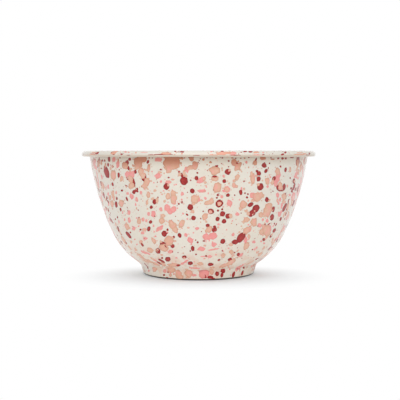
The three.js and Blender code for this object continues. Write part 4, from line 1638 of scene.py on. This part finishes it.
@dataclass
class PhotoCast:
    """Casts what the photograph shows onto the coats."""

    view: "Studio"
    coats: dict[Side, bpy.types.Object]
    seed: int = 5
    growth: float = 1.1
    bead_growth: float = 1.3
    grazing: float = 0.42
    widest_grazing: float = 7.0
    ragged: dict[Tint, float] = field(
        default_factory=lambda: {Tint.PINK: 0.55, Tint.PEACH: 0.55, Tint.BURGUNDY: 0.24}
    )

    def __post_init__(self) -> None:
        """Readies the coats for the rays."""
        self.draws = random.Random(self.seed)
        depsgraph = bpy.context.evaluated_depsgraph_get()
        self.trees = {side: BVHTree.FromObject(coat, depsgraph) for side, coat in self.coats.items()}

    def hit(self, x: float, y: float) -> Optional[Hit]:
        """Finds what a pixel shows.

        Args:
            x: Pixels from the left.
            y: Pixels from the top.

        Returns:
            The nearest coat's hit, or nothing beside the bowl.
        """
        origin, direction = self.view.ray(x, y)
        found = []
        for side, tree in self.trees.items():
            point, normal, _, distance = tree.ray_cast(origin, direction)
            if point is not None:
                found.append((distance, Hit(side, point, normal)))
        return min(found, key=lambda item: item[0])[1] if found else None

    def span(self, middle: Hit, splash: Splash, right: float, down: float) -> Vector:
        """Step on the coat between two pixels either side of a splash, with a lost one mirrored.

        Args:
            middle: What the middle of the splash shows.
            splash: The splash.
            right: Pixels to the right, from the middle to the first end.
            down: Pixels downwards, from the middle to the first end.

        Returns:
            The step from the second end to the first.
        """
        ends = [self.hit(splash.x + sign * right, splash.y + sign * down) for sign in (1, -1)]
        first, second = [end.point if end and end.side is middle.side else None for end in ends]
        if first is None:
            first = 2 * middle.point - second if second else middle.point
        if second is None:
            second = 2 * middle.point - first
        return first - second

    def drop(self, splash: Splash, tint: Tint, lift: float) -> Optional[tuple[Side, Drop]]:
        """Turns a splash into a drop of its real size on the coat.

        Args:
            splash: The splash in pixels.
            tint: Its tint.
            lift: How far it stands off the coat, in millimetres.

        Returns:
            The side and the drop in millimetres, or nothing beside the bowl.
        """
        middle = self.hit(splash.x, splash.y)
        if middle is None:
            return None
        lean = math.radians(splash.lean)
        half_wide, half_tall = splash.wide / 2, splash.tall / 2
        rise = self.span(middle, splash, math.sin(lean) * half_tall, -math.cos(lean) * half_tall)
        reach = self.span(middle, splash, math.cos(lean) * half_wide, math.sin(lean) * half_wide)
        growth = self.bead_growth
        if middle.side is Side.OUTSIDE:
            growth = self.growth
            if abs(middle.normal.dot(self.view.ray(splash.x, splash.y)[1])) < self.grazing:
                reach *= min(1.0, self.widest_grazing * MM / reach.length)
        axes = surface_axes(middle.normal)
        steps = [Vector([step.dot(axis) for axis in axes]) * growth / MM for step in (reach, rise)]
        width, length, turn = own_axes(*steps)
        seed = self.draws.uniform(0, RING_SEED)
        drop = Drop(tint, middle.point / MM, width, length, turn, lift, self.ragged[tint], seed)
        return middle.side, drop

    def drops(self) -> dict[Side, list[Drop]]:
        """Casts all the splashes.

        Returns:
            The drops that the photograph shows, by side.
        """
        jobs = [(splash, tint, LIFTS[tint]) for tint, seen in SEEN.items() for splash in seen]
        jobs += [(splash, Tint.BURGUNDY, TOP_LIFT) for splash in SEEN_ON_TOP]
        found = {side: [] for side in self.coats}
        for job in jobs:
            cast = self.drop(*job)
            if cast:
                found[cast[0]].append(cast[1])
        return found


@dataclass(frozen=True)
class Lamp:
    """A soft oval lamp aimed at the bowl: its place in degrees and metres, its sizes and its power.

    The glossy rim shows it where it is mirrored.
    """

    name: str
    bearing: float
    elevation: float
    distance: float
    width: float
    depth: float
    energy: float
    mirrored: bool = True


LAMPS = (
    Lamp("key", 0.0, 32.0, 1.5, 2.4, 1.1, 9.6),
    Lamp("top", 0.0, 62.0, 1.5, 1.4, 0.5, 3.9),
    Lamp("back", 180.0, 70.0, 1.6, 1.0, 1.0, 2.2),
    Lamp("fill", 180.0, 20.0, 1.6, 1.4, 0.9, 5.0, mirrored=False),
)


@dataclass
class Studio:
    """White sweep, soft light and the camera of the photograph."""

    image_width: int = 400
    eye_row: float = 153.46
    lens: float = 75.18
    sensor: float = 36.0
    eye: Vector = field(default_factory=lambda: Vector((1.5, -936.28, 133.05)))
    aim: Vector = field(default_factory=lambda: Vector((0, 0, 70)))
    sky: float = 0.4
    floor_size: float = 8.0
    floor_colour: Colour = (0.9, 0.9, 0.9, 1.0)
    floor_glow: float = 0.27
    shade_middle: Vector = field(default_factory=lambda: Vector((0, -30, 0)))
    shade_scale: tuple[float, float, float] = (0.8, 1.25, 0.0)
    shade_range: Range = (15.0, 124.0)
    shade_colour: Colour = (0.832, 0.9, 0.938, 1.0)

    def ray(self, x: float, y: float) -> tuple[Vector, Vector]:
        """The ray that a pixel of the photograph looks along.

        Args:
            x: Pixels from the left.
            y: Pixels from the top.

        Returns:
            Its start in metres and its direction.
        """
        pixels = self.lens / self.sensor * self.image_width
        across, down = x - self.image_width / 2, y - self.eye_row
        return self.eye * MM, Vector((across / pixels, 1, -down / pixels)).normalized()

    def build(self) -> None:
        """Sets the camera, the light and the floor."""
        scene = bpy.context.scene
        scene.view_settings.view_transform = "Standard"
        self.camera(scene)
        self.world(scene)
        for lamp in LAMPS:
            self.hang(lamp)
        self.floor()

    def camera(self, scene: bpy.types.Scene) -> None:
        """Stands the camera level with the rim, its frame shifted down to the bowl.

        Args:
            scene: The scene that it is for.
        """
        lens = bpy.data.cameras.new("camera")
        lens.lens = self.lens
        lens.sensor_width = self.sensor
        lens.shift_y = self.eye_row / self.image_width - 0.5
        camera = bpy.data.objects.new("camera", lens)
        camera.location = self.eye * MM
        camera.rotation_euler = (math.pi / 2, 0, 0)
        scene.collection.objects.link(camera)
        scene.camera = camera

    def world(self, scene: bpy.types.Scene) -> None:
        """Surrounds the bowl with white, dimmer as a light than as a background.

        Args:
            scene: The scene that it is for.
        """
        scene.world = bpy.data.worlds.new("white_room")
        scene.world.use_nodes = True
        graph = Graph(scene.world.node_tree)
        strength = graph.seen() * (1 - self.sky) + self.sky
        room = graph.node("ShaderNodeBackground", sockets={"Color": WHITE, "Strength": strength})
        graph.node("ShaderNodeOutputWorld", sockets={"Surface": room})

    def hang(self, plan: Lamp) -> None:
        """Hangs one lamp.

        Args:
            plan: Its place, size and power.
        """
        light = bpy.data.lights.new(plan.name, "AREA")
        light.shape = "ELLIPSE"
        light.size = plan.width
        light.size_y = plan.depth
        light.energy = plan.energy
        lamp = bpy.data.objects.new(plan.name, light)
        lamp.visible_glossy = plan.mirrored
        rise = math.radians(plan.elevation)
        reach, height = plan.distance * math.cos(rise), plan.distance * math.sin(rise)
        step = around(reach, math.radians(plan.bearing), height)
        lamp.location = self.aim * MM + step
        lamp.rotation_euler = (-step).to_track_quat("-Z", "Y").to_euler()
        bpy.context.scene.collection.objects.link(lamp)

    def floor(self) -> None:
        """Lays a floor that shows from above only: lit round the bowl, plain white further off."""
        half = self.floor_size / 2
        mesh = bpy.data.meshes.new("floor")
        corners = [(-half, -half, 0), (half, -half, 0), (half, half, 0), (-half, half, 0)]
        mesh.from_pydata(corners, [], [(0, 1, 2, 3)])
        mesh.materials.append(self.floor_material())
        floor = bpy.data.objects.new("floor", mesh)
        bpy.context.scene.collection.objects.link(floor)
        floor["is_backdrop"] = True

    def floor_material(self) -> bpy.types.Material:
        """Builds the floor's finish.

        Returns:
            The finished material.
        """
        material, graph, place = new_material("white_floor")
        matt = graph.node("ShaderNodeBsdfDiffuse", sockets={"Color": self.floor_colour})
        glow = graph.node("ShaderNodeEmission", sockets={"Color": WHITE, "Strength": self.floor_glow})
        bounce = graph.node("ShaderNodeAddShader", sockets={0: matt, 1: glow})
        plain = graph.node("ShaderNodeEmission", sockets={"Color": WHITE, "Strength": 1.0})
        step = graph.vector("SUBTRACT", place, self.shade_middle * MM)
        away = graph.length(graph.vector("MULTIPLY", step, self.shade_scale)) / MM
        shaded = graph.node("ShaderNodeBsdfDiffuse", sockets={"Color": self.shade_colour})
        shown = graph.mixed_shader(away.eased(*self.shade_range), shaded, plain)
        lit = graph.mixed_shader(graph.seen(), bounce, shown)
        clear = graph.node("ShaderNodeBsdfTransparent")
        under = graph.node("ShaderNodeNewGeometry", output="Backfacing")
        surface = graph.mixed_shader(under, lit, clear)
        graph.node("ShaderNodeOutputMaterial", sockets={"Surface": surface})
        return material


@dataclass
class SaladBowl:
    """The whole bowl: steel, enamel and drops."""

    rim_diameter: float
    height: float
    enamel: float = 0.25
    drop_room: float = 0.14
    wiped_edge: float = 4.0
    pool_bearing: float = math.radians(-80)
    pieces: list[bpy.types.Object] = field(default_factory=list)

    def __post_init__(self) -> None:
        """Draws the profile and readies the tools."""
        self.foot = FootRing()
        self.body = DrawnBody(self.rim_diameter, self.height, self.enamel, self.foot)
        self.coats = EnamelCoats(self.body, self.enamel - self.drop_room)
        self.lathe = Lathe()
        self.press = DropPress()

    def keep(self, piece: bpy.types.Object, slot: str, *nodes: str) -> bpy.types.Object:
        """Ties a finished piece to the frame.

        Args:
            piece: The piece.
            slot: Name of a material slot; not used.
            nodes: The nodes that it stands for.

        Returns:
            The piece.
        """
        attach(piece, BODY)
        if nodes:
            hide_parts(*nodes)
        self.pieces.append(piece)
        LOG.info("%s: %d faces", piece.name, len(piece.data.polygons))
        return piece

    def build_steel(self) -> None:
        """Makes the drawn body, the foot ring and the weld."""
        sheet = BareSteel("sheet_steel", srgb(150, 151, 154), srgb(110, 110, 113), 0.32).material()
        fired = BareSteel("fired_steel", srgb(62, 57, 54), srgb(40, 36, 34), 0.6).material()
        weld = BareSteel("weld_steel", srgb(126, 125, 126), srgb(84, 82, 84), 0.45).material()
        weld_loop = self.foot.weld_loop(self.body)
        self.keep(self.lathe.turn("drawn_body", self.body.section(), sheet), "sheet_steel", "bowl_body")
        self.keep(self.lathe.turn("foot_band", self.foot.ring_loop(), fired), "sheet_steel", "foot_ring")
        self.keep(self.lathe.turn("weld_bead", weld_loop, weld), "weld_steel", "foot_weld")

    def build_coats(self) -> None:
        """Makes the three coats of cream enamel, with painted shade where the wall turns under the rim."""
        wall = CreamEnamel(
            "outside_cream", under_rim_shade_radii=(119.0, 121.6), bare_edge_and_contact_shade_heights=(1.26, 2.1), blush_share=0.6
        ).material()
        inner = CreamEnamel("inside_cream").material()
        under = CreamEnamel("underside_cream").material()
        fillets = (self.coats.tight_fillet, self.coats.pooled_fillet)
        tight, pooled = [self.coats.outside(fillet).section() for fillet in fillets]
        outside = self.lathe.turn("outside_coat", tight, wall, pooled, self.pool_bearing)
        inside = self.lathe.turn("inside_coat", self.coats.inside().section(), inner)
        underside = self.lathe.turn("underside_coat", self.coats.underside().section(), under)
        self.keep(outside, "outside_enamel", "outside_enamel")
        self.keep(inside, "inside_enamel", "inside_enamel")
        self.keep(underside, "underside_enamel", "underside_enamel")
        self.spattered = {Side.OUTSIDE: outside, Side.INSIDE: inside}

    def build_drops(self, view: Studio) -> None:
        """Spatters the outside and the inside.

        Args:
            view: The camera that shows where the front's drops landed.
        """
        cast = PhotoCast(view, self.spattered)
        seen = cast.drops()
        glosses = {
            Side.OUTSIDE: self.coats.outside(self.coats.tight_fillet).gloss,
            Side.INSIDE: self.coats.inside().gloss,
        }
        for side, gloss in glosses.items():
            scatter = Scatter(gloss, SCATTER_SEEDS[side])
            spray = Spray(cast.trees[side], SCATTER_SEEDS[side])
            landed = []
            for kind in DROP_KINDS:
                landed += [drop for drop in scatter.drops(kind) if kind.fine or not in_view(side, drop)]
            thrown = [small for drop in [*seen[side], *landed] for small in spray.off(drop)]
            lowest = self.wiped_edge if side is Side.OUTSIDE else 0.0
            loose = [drop for drop in [*landed, *thrown] if drop.place.z > lowest]
            self.lay_drops(side, [*seen[side], *loose])

    def lay_drops(self, side: Side, drops: Sequence[Drop]) -> None:
        """Makes one piece of each tint of a side's drops.

        Args:
            side: The side of the bowl.
            drops: Its drops.
        """
        for tint, glass in DROP_GLASS.items():
            finish = replace(glass, name=f"{side.value}_{tint.value}")
            if side is Side.INSIDE:
                finish = replace(finish, shaded_under_rim_share=0.0)
            chosen = [drop for drop in drops if drop.tint is tint]
            name = f"{side.value}_{tint.value}_drops"
            piece = self.press.lay(name, chosen, self.spattered[side], finish.material())
            self.keep(piece, f"{side.value}_enamel")


def main() -> None:
    """Loads the frame and dresses the bowl."""
    logging.basicConfig(level=logging.INFO, format="%(name)s: %(message)s")
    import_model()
    cad_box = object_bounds()
    low, high = cad_box
    bowl = SaladBowl(rim_diameter=(high.x - low.x) / MM, height=high.z / MM)
    bowl.build_steel()
    bowl.build_coats()
    studio = Studio()
    bowl.build_drops(studio)
    studio.build()
    LOG.info("%d pieces", len(bowl.pieces))


if __name__ == "__main__":
    main()
